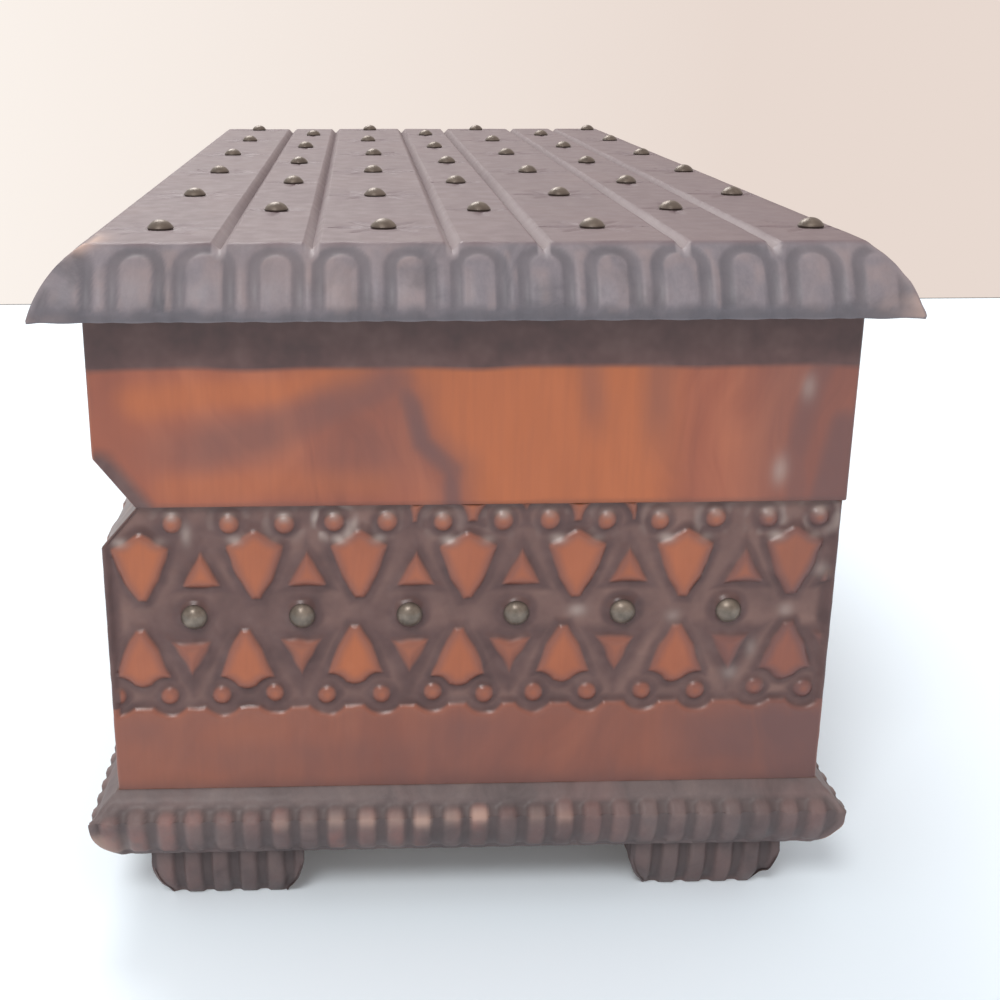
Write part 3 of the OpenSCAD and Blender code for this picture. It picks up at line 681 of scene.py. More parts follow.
def lid_edge():
    """The lid's shaped edge: its grid, distances down from the top, cuts and points."""
    rows = edge_rows(LID_EDGE, 26)
    lengths = np.linalg.norm(np.diff(rows[:, :2], axis=0), axis=1)
    down = np.concatenate([[0], np.cumsum(lengths)])
    down = down[-1] - down
    rows[0, 0] -= 0.25
    g = edge_grid(CASE_X, CASE_Y, rows, LID_EDGE_STEP)
    t = down[g.row.astype(int)]
    depth = np.zeros_like(t)
    for k in range(4):
        use = g.side[0] == k
        depth[:, use] = arch_cut(g.s[:, use], t[:, use], 81 + k)
    depth = depth * smooth(0.2, 1.6, g.rim)
    depth += 0.16 * fade(0.0, 0.8, g.rim) * (1 + wobble(t / 2, g.side * 9, 84))
    groove = vgroove_depth(g.y)
    notch = groove * np.clip(1 - (t - 0.3) / 4.6, 0, 1) * g.is_end
    depth = np.maximum(depth, notch)
    depth[0] = np.minimum(depth[0], 1.2)
    points = pushed_in(g, depth)
    points[0, :, 2] = RAIL_HIGH
    points[1:, :, 2] = np.maximum(points[1:, :, 2], RAIL_HIGH + 0.15)
    level = np.where(g.is_end, TOP - groove, TOP) - swell(g.x, g.y)
    points[..., 2] = np.minimum(points[..., 2], level)
    return g, t, depth, groove, notch, points


def edge_marks(g, t, depth, groove, notch):
    """Dark, worn, pale, cream and rosy marks on the lid's edge, with painted shade on its underside and
    painted highlights where the grooves run onto it.
    """
    dark = 0.85 * smooth(0.02, 0.42, depth - notch) * fade(0.1, 0.5, notch)
    # Painted shade on the lower, downward-facing part of the edge
    underside_shade = 0.95 * smooth(13.4, 16.2, t + 0.8 * wobble(g.s / 3, g.side * 5, 86))
    dark = np.maximum(dark * (0.8 + 0.2 * wobble(g.s / 3.3, t / 4.5, 89)), underside_shade)
    # Painted highlight where the lit walls of the grooves run onto the ends of the edge
    groove_highlight = (groove > 0.2) * fade(1.0, 4.5, t) * g.is_end * 0.8
    front_tip = spot(g.y, t, (-76, 0), (3, 2.2)) * g.right
    back_tip = 0.5 * np.exp(-g.rim / 3) * smooth(11, 14, t) * g.right * (g.s > 0)
    marks = {"burn": dark, "wear": edge_wear(g, t, depth), "pale": np.clip(groove_highlight, 0, 1),
             "cream": np.maximum(front_tip, back_tip)}
    for mark in marks.values():
        mark[0] = 0
    # Painted shade on the lowest ring, under the edge
    dark[0] = 0.6
    marks["rosy"] = fade(0.0, 1.2, t)
    return marks


def lid_board(materials):
    """The lid's board: its edge as a grid, and its top filled in up to the edge's last ring."""
    g, t, depth, groove, notch, edge = lid_edge()
    rows, count = edge.shape[:2]
    grid = top_grid()
    outline = [tuple(p) for p in edge[-1, :, :2]]
    ring = [(i, (i + 1) % count) for i in range(count)]
    found = delaunay_2d_cdt(outline + [tuple(p) for p in grid], ring, [], 1, 1e-6)
    faces = np.array([list(f) for f in found[2]]) + (rows - 1) * count
    height, inner_groove, chips = top_height(grid[:, 0], grid[:, 1])
    points = np.concatenate([edge.reshape(-1, 3), np.column_stack([grid, height])])
    inner = top_marks(grid[:, 0], grid[:, 1], inner_groove, chips)
    outer = edge_marks(g, t, depth, groove, notch)
    marks = {key: np.concatenate([mark.ravel(), inner[key]]) for key, mark in outer.items()}
    blocks = [ring_quads(rows, count), caps(count, rows)[0], faces]
    indices = np.concatenate([np.zeros(len(blocks[0])), [1], np.zeros(len(faces))])
    return make_piece("carved_lid_board", points, blocks, materials, marks, indices)


def top_grid():
    """Places of the points of the lid's flat top."""
    rows = top_rows()
    grid = [(x, y) for x in np.arange(-TOP_X, TOP_X + 0.1, TOP_STEP_X) for y in rows]
    for sx, sy, wide in LID_STUDS:
        grid += stud_patch(sx, sy, wide)
    return thinned(np.array(grid))


def top_rows():
    """Heights of the rows of the lid's top grid: close together at the grooves."""
    rows = []
    for line in vgroove_lines():
        rows += [line + d for d in (-1.9, -1.5, -0.75, 0, 0.75, 1.5, 1.9)]
    fill = [y for y in np.arange(-TOP_Y, TOP_Y + 0.1, TOP_STEP_Y) if all(abs(y - r) > 0.9 for r in rows)]
    return sorted(rows + fill)


def stud_patch(sx, sy, wide):
    """Extra grid points where the chips are cut beside a stud."""
    reach_x, reach_y = (9.0, 11.4) if wide else (12.2, 6.4)
    return [(sx + u, sy + v) for u in np.arange(-reach_x, reach_x + 0.1, CHIP_STEP)
            for v in np.arange(-reach_y, reach_y + 0.1, CHIP_STEP)
            if abs(sx + u) < 163 and all(abs(sy + v - line) > 1.9 for line in vgroove_lines())]


def thinned(grid):
    """The grid without points that nearly coincide."""
    keys = np.round(grid / 0.5).astype(int)
    _, first = np.unique(keys, axis=0, return_index=True)
    return grid[np.sort(first)]


def edge_wear(g, t, depth):
    """Bare wood where hands have worn the edge of the lid: its corners and the ridges."""
    corner = np.exp(-g.rim / 2.0) * (0.5 + 0.5 * wobble(t / 3, g.side * 7, 91))
    tip = smooth(14.2, 16.6, t) * np.exp(-g.rim / 5)
    ridge = 0.28 * fade(0.05, 0.3, depth) * smooth(-0.3, 0.8, wobble(g.s / 2.4, t / 4, 92))
    return np.clip(most(0.45 * corner, 0.6 * tip, ridge * smooth(1.0, 3.0, t)), 0, 1)


def top_marks(x, y, groove, chips):
    """Dark, worn, pale, cream and rosy marks on the lid's flat top, at places on it, with painted light and
    shade on the walls of the grooves and a painted shadow round each stud.
    """
    line_gap = np.min([np.abs(y - line) for line in vgroove_lines()], axis=0)
    sign = np.zeros_like(y)
    for line in vgroove_lines():
        sign = np.where(np.abs(y - line) < 2.2, np.sign(y - line), sign)
    # Painted light on the V-grooves' walls: pale on the far wall and, toward the right and the front end, on
    # the near wall; painted shade on the near wall elsewhere
    far_side = smooth(0.05, 0.5, groove) * (sign > 0)
    near_side = smooth(0.05, 0.5, groove) * (sign <= 0)
    lit = 0.3 + 0.7 * smooth(30, 130, x)
    toward_right = smooth(-40, 30, y)
    front_end = smooth(80, 158, x)
    stud_shadow = np.zeros_like(x)
    # A painted shadow round each stud, reaching a little toward the right end
    for sx, sy, _ in LID_STUDS:
        use = (np.abs(x - sx) < 25) & (np.abs(y - sy) < 20)
        u, v = x[use] - sx, y[use] - sy
        spread = spot(u, v, (1.5, 0), (8.5, 5.8 + 1.5 * wobble(u * 0 + sx, v * 0 + sy, 95)))
        stud_shadow[use] = most(stud_shadow[use], spread, 1.2 * spot(u, v, (0, 0), (5.2, 4.6)))
    ragged = 0.72 + 0.28 * wobble(x / 3, y / 2, 87)
    burn = most(
        near_side * (1 - toward_right * smooth(-120, 150, x)) * (1 - front_end) * 0.4,
        np.clip(0.95 * stud_shadow * ragged, 0, 1) * (line_gap > 1.5),
        0.6 * smooth(0.1, 0.6, chips),
        0.12 + 0.35 * smooth(0.0, 0.9, wobble(x / 16, y / 5, 88)),
    )
    return {
        "burn": burn,
        "wear": 0.35 * smooth(0.2, 0.9, wobble(x / 28, y / 9, 94)),
        "pale": most(far_side * lit * (0.75 + 0.25 * toward_right),
                     near_side * np.maximum(0.8 * toward_right * lit, 0.8 * front_end)),
        "cream": np.exp(-((x - 160) ** 2 / 60 + (y + 75) ** 2 / 10)),
        "rosy": np.ones_like(x),
    }


# Base board

def base_rows():
    """Rows of the base board's edge: its swell, then its bevel up to the case."""
    reach, height = BASE_EDGE[0]
    inward, high = BASE_BEVEL
    rise = np.concatenate([[0.35], np.arange(0.7, 3.9, 0.4), [4.2, 4.6, 5.0, high]])
    ones = np.ones_like(rise)
    bevel = np.stack([reach - inward * rise / high, height + rise, 0.68 * ones, 0.73 * ones], -1)
    return np.concatenate([edge_rows(BASE_EDGE, 15), bevel])


def base_marks(g, depth, ridge):
    """Burned lines, wear and cream blots on the base board's edge."""
    left_half = np.where(g.right, 1 - smooth(-10, 40, g.s), 0.5)
    patch = smooth(-0.5, 0.9, wobble(g.s / 7, g.z / 9, 99))
    tip = np.exp(-g.rim / 3) * smooth(13.5, 15, g.z) * fade(19, 22, g.z)
    tip = tip * np.where(g.right & (g.s > 0), 0.0, 1.0)
    number = np.round((g.s - FLUTE_PHASE) / FLUTE_PITCH)
    worn = np.zeros_like(g.z)
    for k, strength in WORN_RIDGES.items():
        worn[(number == k) & g.right] = strength
    blot = np.exp(-((g.z - 23.4 - 0.8 * wobble(number * 1.7, number * 0.9, 100)) / 1.4) ** 2)
    cuts = 0.8 * smooth(0.2, 0.75, depth) * (0.35 + 0.65 * smooth(14, 18, g.z))
    return without_caps({
        "burn": np.maximum(cuts, 0.22 * smooth(25.8, 27.2, g.z)),
        "wear": ridge * (0.08 + 0.55 * left_half * patch),
        "cream": np.clip(0.72 * ridge * worn * blot + 0.6 * tip, 0, 1),
    })


def without_caps(marks):
    """The marks with none on the lowest and the highest ring, which the flat faces share."""
    for mark in marks.values():
        mark[[0, -1]] = 0
    return marks


def base_board(materials):
    g = edge_grid(CASE_X, CASE_Y, base_rows(), BASE_EDGE_STEP)
    z = g.z
    depth, ridge = flute_cut(g.s, np.where(g.is_end, z, z + 1.2), 96, g.side)
    depth = depth * np.where(g.is_end, 1.0, 0.6)
    depth = depth * smooth(0.4, 2.2, g.rim)
    depth += 0.25 * fade(0.0, 1.2, g.rim) * (1 + wobble(z / 2.5, g.side * 9, 97)) * (z < 28)
    depth += 0.05 * (1 + wobble(g.s / 6, z / 3, 98)) * (z < 28)
    points = pushed_in(g, depth)
    points[0, :, 2] = FOOT_TOP
    points[..., 2] = np.clip(points[..., 2], FOOT_TOP, WALL_LOW)
    return closed_grid("fluted_base_board", points, materials, base_marks(g, depth, ridge))


def flute_cut(s, z, seed, side):
    index = np.round((s - FLUTE_PHASE) / FLUTE_PITCH)
    pick = (index.astype(int) + 64 + 17 * side.astype(int)) % 128
    rng = np.random.default_rng(seed)
    stray, tall = rng.normal(0, 0.16, 128)[pick], rng.normal(0, 0.35, 128)[pick]
    u = np.abs(s - FLUTE_PHASE - index * FLUTE_PITCH - stray)
    ridge = fade(1.05, 2.5, u)
    top = FLUTE_TOP + tall - 0.25 * (u / 1.6) ** 2
    shown = fade(top - 0.9, top + 0.3, z) * smooth(14.0, 15.2, z)
    cut = 0.85 * (1 - ridge) * fade(FLUTE_TOP - 0.4, FLUTE_TOP + 1.1, z)
    end = 0.4 * ridge * (1 - shown) * fade(FLUTE_TOP + 0.4, FLUTE_TOP + 1.2, z)
    return cut + end, ridge * shown


# Feet

def foot(name, cx, cy, materials, chipped):
    top = np.array([[FOOT_HALF, 12.0, 1, 0], [FOOT_HALF, FOOT_TOP, 1, 0]])
    rows = np.concatenate([edge_rows(FOOT_EDGE, 11), top])
    rows[:, 0] -= FOOT_HALF
    g = edge_grid(FOOT_HALF, FOOT_HALF, rows, FOOT_STEP)
    u = g.s - FOOT_PHASE
    u = np.abs(u - np.round(u / FOOT_PITCH) * FOOT_PITCH)
    ridge = fade(1.25, 2.35, u)
    depth = (1 - ridge) * 1.1 * smooth(0.3, 2.6, g.rim)
    depth += 0.7 * fade(0.0, 3.5, g.rim) * fade(5.0, 11.0, g.z)
    depth += 0.1 * (1 + wobble(g.s / 2 + cx, g.z / 2, 101))
    depth = np.where(g.z < 0.01, np.maximum(depth, 0.35), depth)
    points = pushed_in(g, depth)
    points[0, :, 2] = 0
    if chipped:
        reach = smooth(10.5, 14.0, points[..., 1]) * smooth(8.0, 11.0, points[..., 0])
        lift = 1.9 * reach * fade(0.5, 5, points[..., 2])
        points[1:, :, 2] += lift[1:]
        points[0, :, :2] *= 1 - 0.12 * reach[0][:, None]
    # The flutes are darker, and every foot is at least 0.35 dark: partly stain, partly painted shade under
    # the base board
    marks = without_caps({
        "burn": np.maximum(smooth(0.2, 0.9, 1 - ridge), 0.35),
        "wear": 0.12 * ridge * (0.5 + 0.5 * wobble(g.s / 3 + cy, g.z / 4, 102)),
    })
    return closed_grid(name, points + np.array([cx, cy, 0]), materials, marks)


# Metal

def dome(seed):
    """One stud's head on z = 0, with a short skirt below it and hammer marks on the dome."""
    profile = [(STUD_R - 0.25, -0.9), (STUD_R - 0.2, -0.05), (STUD_R - 0.02, 0.06), (STUD_R, 0.22)]
    r = (STUD_R ** 2 + (STUD_H - 0.22) ** 2) / (2 * (STUD_H - 0.22))
    top = math.asin((STUD_R - 0.06) / r)
    profile += [(r * math.sin(a), STUD_H - r + r * math.cos(a)) for a in np.linspace(top, top / 9, 9)]
    count = 28
    turn = np.arange(count) / count * 2 * math.pi
    rings = [np.stack([p * np.cos(turn), p * np.sin(turn), np.full(count, h)], -1) for p, h in profile]
    points = np.concatenate(rings + [[[0, 0, STUD_H]]])
    rng = np.random.default_rng(seed)
    dent = 0.045 * wobble(points[:, 0] * 0.9 + 9 * rng.random(), points[:, 1] * 0.9 + 9 * rng.random(), seed)
    points[:, 2] -= (np.abs(dent) + 0.01) * (points[:, 2] > 0.3)
    quads = ring_quads(len(profile), count)
    last = (len(profile) - 1) * count
    fan = np.stack([last + np.arange(count), last + (np.arange(count) + 1) % count,
                    np.full(count, len(points) - 1)], -1)
    return points, quads, fan, np.arange(count)[::-1][None, :]


def stud_set(name, places, turn, material, dull=0.0):
    """Studs at these places. turn takes the dome's axis to the outward direction."""
    points, quads, fans, lows, skirt_shade_and_dulling = [], [], [], [], []
    for k, place in enumerate(places):
        p, q, f, low = dome(200 + k)
        base = sum(len(x) for x in points)
        # Painted shade on the skirt at the foot of each dome, and darker all over as far as dull asks
        skirt_shade_and_dulling.append(np.maximum(1 - smooth(0.15, 0.8, p[:, 2]), dull))
        points.append(p @ np.array(turn).T + np.array(place))
        quads.append(q + base)
        fans.append(f + base)
        lows.append(low + base)
    blocks = [np.concatenate(quads), np.concatenate(fans), np.concatenate(lows)]
    return make_piece(name, np.concatenate(points), blocks, [material], {"burn": np.concatenate(skirt_shade_and_dulling)})


TURNS = {
    "up": ((1, 0, 0), (0, 1, 0), (0, 0, 1)),
    "right": ((0, 0, 1), (1, 0, 0), (0, 1, 0)),
    "left": ((0, 0, -1), (-1, 0, 0), (0, 1, 0)),
    "front": ((1, 0, 0), (0, 0, -1), (0, 1, 0)),
    "back": ((-1, 0, 0), (0, 0, 1), (0, 1, 0)),
}


def screw_heads(name, places, material):
    """Slotted screw heads that stand a little proud of the underside of the base board."""
    profile = [(SCREW_R - 0.5, 0.5), (SCREW_R, 0.0), (SCREW_R - 0.05, -0.12)]
    profile += [(SCREW_R - 0.35, 0.04 - SCREW_RISE)]
    profile += [(r, -SCREW_RISE) for r in (1.5, 1.1, 0.7, 0.35)]
    count = 32
    turn = (np.arange(count) + 0.5) / count * 2 * math.pi
    points, quads, flats = [], [], []
    for k, (x, y) in enumerate(places):
        base = sum(len(p) for p in points)
        rings = [np.stack([r * np.cos(-turn), r * np.sin(-turn), np.full(count, h)], -1) for r, h in profile]
        ring = np.concatenate(rings)
        in_slot = (np.abs(ring[:, 1]) < SLOT_HALF) & (ring[:, 2] < -0.1)
        ring[:, 2] = np.where(in_slot, 0.08, ring[:, 2])
        c, s = math.cos(0.7 * k), math.sin(0.7 * k)
        ring[:, :2] = ring[:, :2] @ np.array([[c, s], [-s, c]])
        points.append(ring + np.array([x, y, FOOT_TOP]))
        quads.append(ring_quads(len(profile), count) + base)
        flats += [cap + base for cap in caps(count, len(profile))[::-1]]
    blocks = [np.concatenate(quads), np.concatenate(flats)]
    return make_piece(name, np.concatenate(points), blocks, [material])


# Lining

def felt_sheet(material):
    low, high = WALL_LOW + 0.02, WALL_LOW + FELT_T
    xs, ys = np.linspace(-FELT_X, FELT_X, 181), np.linspace(-FELT_Y, FELT_Y, 75)
    x, y = np.meshgrid(xs, ys, indexing="ij")
    inset = np.minimum(FELT_X - np.abs(x), FELT_Y - np.abs(y))
    droop = 0.45 * np.exp(-inset / 0.8)
    z = high - droop - 0.1 * (1 + wobble(x / 11, y / 11, 111)) - 0.04 * (1 + wobble(x / 2.5, y / 2.5, 112))
    top = np.stack([x, y, z], -1).reshape(-1, 3)
    bottom = np.stack([x, y, np.full_like(x, low)], -1).reshape(-1, 3)
    n, m = x.shape
    i, j = np.arange(n - 1)[:, None] * m, np.arange(m - 1)[None, :]
    quads = np.stack([i + j, i + m + j, i + m + j + 1, i + j + 1], -1).reshape(-1, 4)
    edge = np.concatenate([np.arange(n) * m, (n - 1) * m + np.arange(1, m),
                           np.arange(n - 2, -1, -1) * m + m - 1, np.arange(m - 2, 0, -1)])
    after = np.roll(edge, -1)
    total = n * m
    walls = np.stack([edge + total, after + total, after, edge], -1)
    blocks = [quads, quads[:, ::-1] + total, walls]
    return make_piece("felt_lining", np.concatenate([top, bottom]), blocks, [material])


# Materials

def tint(r, g, b):
    """A colour written as 0 to 255 on screen, as Blender wants it."""
    shares = [v / 255 for v in (r, g, b)]
    return (*(v / 12.92 if v <= 0.04045 else ((v + 0.055) / 1.055) ** 2.4 for v in shares), 1.0)


class Tree:
    """A node tree under construction. Colours are given as sockets, or as tuples from 0 to 255."""

    def __init__(self, owner):
        owner.use_nodes = True
        self.tree = owner.node_tree
        self.tree.nodes.clear()

    def feed(self, node, inputs):
        """Sets the inputs of a node to values, or links them to the sockets that feed them."""
        for key, value in inputs.items():
            if hasattr(value, "is_output"):
                self.tree.links.new(value, node.inputs[key])
            else:
                node.inputs[key].default_value = value

    def add(self, kind, inputs, output=0, **settings):
        """One output of a new node."""
        node = self.tree.nodes.new("ShaderNode" + kind)
        for key, value in settings.items():
            setattr(node, key, value)
        self.feed(node, inputs)
        return node.outputs[output]

    def attribute(self, name):
        return self.add("Attribute", {}, "Fac", attribute_name=name)

    def mapped(self, scale, turn=(0, 0, 0), source=None):
        return self.add("Mapping", {"Vector": source or self.place, "Scale": scale, "Rotation": turn})

    def noise(self, vector, detail, rough=0.55, distortion=0.0, scale=1.0, output="Fac"):
        return self.add("TexNoise", {"Vector": vector, "Scale": scale, "Detail": detail,
                                     "Roughness": rough, "Distortion": distortion}, output)

    def cloud(self, scale, detail, rough=0.55, distortion=0.0):
        """Noise in space. scale is one number, or one for each axis."""
        scales = scale if isinstance(scale, tuple) else (scale,) * 3
        return self.noise(self.mapped(scales), detail, rough, distortion)

    def ramp(self, source, stops):
        node = self.tree.nodes.new("ShaderNodeValToRGB")
        elements = node.color_ramp.elements
        while len(elements) < len(stops):
            elements.new(0.5)
        for element, (position, colour) in zip(elements, stops.items()):
            element.position = position
            element.color = tint(*colour)
        self.feed(node, {"Fac": source})
        return node.outputs["Color"]

    def math(self, kind, a, b, clamp=False):
        return self.add("Math", {0: a, 1: b}, operation=kind, use_clamp=clamp)

    def times(self, a, b, clamp=False):
        return self.math("MULTIPLY", a, b, clamp)

    def mix(self, factor, a, b):
        a, b = (tint(*c) if isinstance(c, tuple) else c for c in (a, b))
        return self.add("Mix", {0: factor, 6: a, 7: b}, 2, data_type="RGBA", clamp_factor=True)

    def spread(self, source, low, high, to_low=0.0, to_high=1.0):
        ends = {"From Min": low, "From Max": high, "To Min": to_low, "To Max": to_high}
        return self.add("MapRange", {"Value": source, **ends}, "Result")


class Shade(Tree):
    """A material under construction."""

    def __init__(self, name):
        self.material = bpy.data.materials.new(name)
        super().__init__(self.material)
        out = self.tree.nodes.new("ShaderNodeOutputMaterial")
        self.shader = self.tree.nodes.new("ShaderNodeBsdfPrincipled")
        self.feed(out, {"Surface": self.shader.outputs["BSDF"]})
        self.place = self.add("TexCoord", {}, "Object")

    def finish(self, inputs, height=None, strength=1.0, distance=0.0001):
        """The material, with these inputs to its shader and a bump from height."""
        self.feed(self.shader, inputs)
        if height is not None:
            bump = self.add("Bump", {"Strength": strength, "Distance": distance, "Height": height})
            self.feed(self.shader, {"Normal": bump})
        return self.material


def grain_vectors(shade):
    """Places stretched along the grain: along the box on its long sides, up and swirling on its ends."""
    end = shade.attribute("end")
    warp = shade.noise(shade.mapped((14, 14, 14)), 3.0, 0.5, output="Color")
    push = {0: warp, 1: (0.05, 0.05, 0.05), 2: shade.place}
    swirl = shade.add("VectorMath", push, operation="MULTIPLY_ADD")
    return end, shade.mix(end, shade.mapped((5, 60, 70)), shade.mapped((40, 62, 17), (0.5, 0, 0), swirl))


def varnished_wood():
    shade = Shade("varnished_wood")
    end, vector = grain_vectors(shade)
    wave = shade.noise(vector, 3.0, 0.5, 1.2)
    wood = shade.ramp(wave, {0.25: (125, 69, 54), 0.45: (147, 82, 61), 0.6: (157, 90, 66),
                             0.78: (165, 96, 69)})
    wood = shade.mix(shade.times(shade.attribute("warm"), 0.8), wood, (175, 97, 55))
    fibre = shade.noise(shade.mix(end, shade.mapped((30, 700, 700)), shade.mapped((500, 700, 60))), 2.0)
    wood = shade.mix(shade.spread(fibre, 0.4, 0.7, 0.0, 0.14), wood, (122, 70, 54))
    breakup = shade.noise(vector, 3.0, 0.5, 0.6, 2.0)
    figured = shade.times(shade.attribute("figure"), shade.spread(breakup, 0.25, 0.65, 0.85, 1.05), True)
    wood = shade.mix(figured, wood, (105, 71, 67))
    # Darkening: stain, with painted shade at the foot of the walls and a painted shadow under the lid's
    # overhang
    burn = shade.attribute("burn")
    speck = shade.cloud(160, 2.0)
    dark = shade.ramp(speck, {0.3: (76, 52, 50), 0.52: (88, 62, 59), 0.75: (100, 75, 71)})
    patches = shade.spread(shade.cloud(110, 3.0), 0.3, 0.65, 0.4, 1.2)
    dark = shade.mix(shade.times(shade.attribute("earth"), patches, True), dark, (119, 89, 81))
    colour = shade.mix(shade.spread(burn, 0.1, 0.85), wood, dark)
    # Pale marks: painted highlights on the carved band, and pale spots on the lid's ends
    colour = shade.mix(shade.attribute("pale"), colour, (162, 146, 138))
    height = shade.math("ADD", shade.times(fibre, 0.3), shade.times(speck, burn))
    rough = shade.spread(speck, 0.3, 0.7, 0.34, 0.46)
    return shade.finish({"Base Color": colour, "Roughness": rough, "Specular IOR Level": 0.4,
                         "Coat Weight": 0.12, "Coat Roughness": 0.28}, height, 0.5)


def plain_wood():
    """The unvarnished inner faces and joints."""
    shade = Shade("inner_wood")
    wave = shade.cloud((6, 55, 55), 5.0, 0.6, 1.2)
    wood = shade.ramp(wave, {0.3: (128, 88, 66), 0.5: (160, 114, 86), 0.7: (178, 132, 102)})
    fibre = shade.cloud((50, 1100, 1100), 3.0)
    wood = shade.mix(shade.spread(fibre, 0.35, 0.7, 0.0, 0.4), wood, (110, 74, 56))
    rough = shade.spread(fibre, 0.3, 0.7, 0.55, 0.75)
    return shade.finish({"Base Color": wood, "Roughness": rough}, fibre, 0.6)


def stained_wood(name, deep, middle, pale, worn, gloss):
    """Dark stained wood with lighter ridges where it is worn. gloss is the range of its roughness."""
    shade = Shade(name)
    wood = shade.ramp(shade.cloud((9, 85, 85), 6.0, 0.6, 0.9), {0.28: deep, 0.5: middle, 0.74: pale})
    fibre = shade.cloud((70, 1300, 1300), 3.0)
    wood = shade.mix(shade.spread(fibre, 0.4, 0.7, 0.0, 0.15), wood, deep)
    wood = shade.mix(shade.spread(shade.cloud(45, 4.0), 0.5, 0.72, 0.0, 0.35), wood, worn)
    # Darkening: stain, with painted shade under the lid's edge, on the grooves' shaded walls, round the studs
    # and on the feet
    wood = shade.mix(shade.spread(shade.attribute("burn"), 0.1, 1.0, 0.0, 0.85), wood, deep)
    rub = shade.cloud(210, 4.0)
    rubbed = shade.times(shade.attribute("wear"), shade.spread(rub, 0.32, 0.6, 0.35, 1.3), True)
    wood = shade.mix(rubbed, wood, worn)
    wood = shade.mix(shade.times(shade.attribute("rosy"), 0.85), wood, (104, 86, 89))
    # Pale marks: painted highlights on the lit walls of the lid's grooves
    wood = shade.mix(shade.times(shade.attribute("pale"), 0.6), wood, (164, 152, 153))
    wood = shade.mix(shade.attribute("cream"), wood, (194, 161, 145))
    height = shade.math("ADD", shade.times(fibre, 0.4), shade.times(rub, 0.8))
    rough = shade.spread(rub, 0.3, 0.7, *gloss)
    return shade.finish({"Base Color": wood, "Roughness": rough, "Specular IOR Level": 0.35,
                         "Coat Weight": 0.08, "Coat Roughness": 0.3}, height, 0.45)


def aged_brass():
    shade = Shade("aged_brass")
    cloud = shade.cloud(420, 4.0)
    metal = shade.ramp(cloud, {0.3: (98, 89, 80), 0.5: (116, 105, 95), 0.72: (136, 124, 112)})
    # Darker brass: painted shade on the studs' skirts, and the duller studs of the lid
    metal = shade.mix(shade.spread(shade.attribute("burn"), 0.0, 1.0, 0.0, 0.8), metal, (74, 64, 59))
    return shade.finish({"Base Color": metal, "Metallic": 0.5,
                         "Roughness": shade.spread(cloud, 0.3, 0.7, 0.32, 0.46)}, cloud, 0.5, 0.00008)


def lining_felt():
    shade = Shade("lining_felt")
    fuzz = shade.cloud(1400, 4.0, 0.7)
    cloth = shade.ramp(fuzz, {0.3: (88, 26, 32), 0.55: (122, 38, 44), 0.75: (150, 58, 60)})
    cloth = shade.mix(shade.spread(shade.cloud(60, 3.0), 0.4, 0.7, 0.0, 0.3), cloth, (96, 30, 36))
    return shade.finish({"Base Color": cloth, "Roughness": 0.95, "Sheen Weight": 0.35,
                         "Sheen Roughness": 0.5}, fuzz, 0.8, 0.0004)


WOOD = [varnished_wood(), plain_wood()]
LID_STAIN = stained_wood("stained_lid", (86, 82, 87), (117, 109, 114), (131, 121, 125),
                         (152, 131, 127), (0.52, 0.68))
BASE_STAIN = stained_wood("stained_base", (79, 68, 68), (101, 87, 86), (114, 98, 95),
                          (137, 98, 92), (0.52, 0.68))
UNDER = stained_wood("stained_underside", (70, 54, 48), (96, 74, 64), (118, 92, 78),
                     (140, 108, 90), (0.5, 0.65))
BRASS = aged_brass()
FELT = lining_felt()


# Pieces

def placed(piece, body, slot, *nodes):
    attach(piece, body)
    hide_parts(*nodes)
    return piece


def case_levels(step):
    return np.concatenate([[WALL_LOW, WALL_LOW + EDGE_EASE], np.arange(WALL_LOW + 1.2, 44.6, 1.2),
                           np.arange(44.8, WALL_HIGH - 0.5, step), [WALL_HIGH - EDGE_EASE, WALL_HIGH]])


def rail_levels(step):
    return np.concatenate([[RAIL_LOW, RAIL_LOW + EDGE_EASE], np.arange(RAIL_LOW + 1.2, RAIL_HIGH - 0.6, step),
                           [RAIL_HIGH - EDGE_EASE, RAIL_HIGH]])


def leaf_recess(piece, low, high):
    """Cuts the seats of both hinge leaves in the back of a block, with a boolean that is then applied."""
    cutters = []
    faces = np.array([(3, 2, 1, 0), (4, 5, 6, 7), (0, 1, 5, 4), (1, 2, 6, 5), (2, 3, 7, 6), (3, 0, 4, 7)])
    corners = [(i * SEAT_HALF, SEAT_Y[k]) for i, k in ((-1, 0), (1, 0), (1, 1), (-1, 1))]
    for x in (-SEAT_X, SEAT_X):
        points = np.array([(x + u, y, z) for z in (low, high) for u, y in corners])
        cutters.append(make_piece("cutter", points, [faces], []))
    for cutter in cutters:
        cut = piece.modifiers.new("seat", "BOOLEAN")
        cut.operation = "DIFFERENCE"
        cut.solver = "EXACT"
        cut.object = cutter
    bpy.context.view_layer.update()
    graph = bpy.context.evaluated_depsgraph_get()
    mesh = bpy.data.meshes.new_from_object(piece.evaluated_get(graph))
    piece.modifiers.clear()
    old = piece.data
    piece.data = mesh
    bpy.data.meshes.remove(old)
    for cutter in cutters:
        bpy.data.objects.remove(cutter)


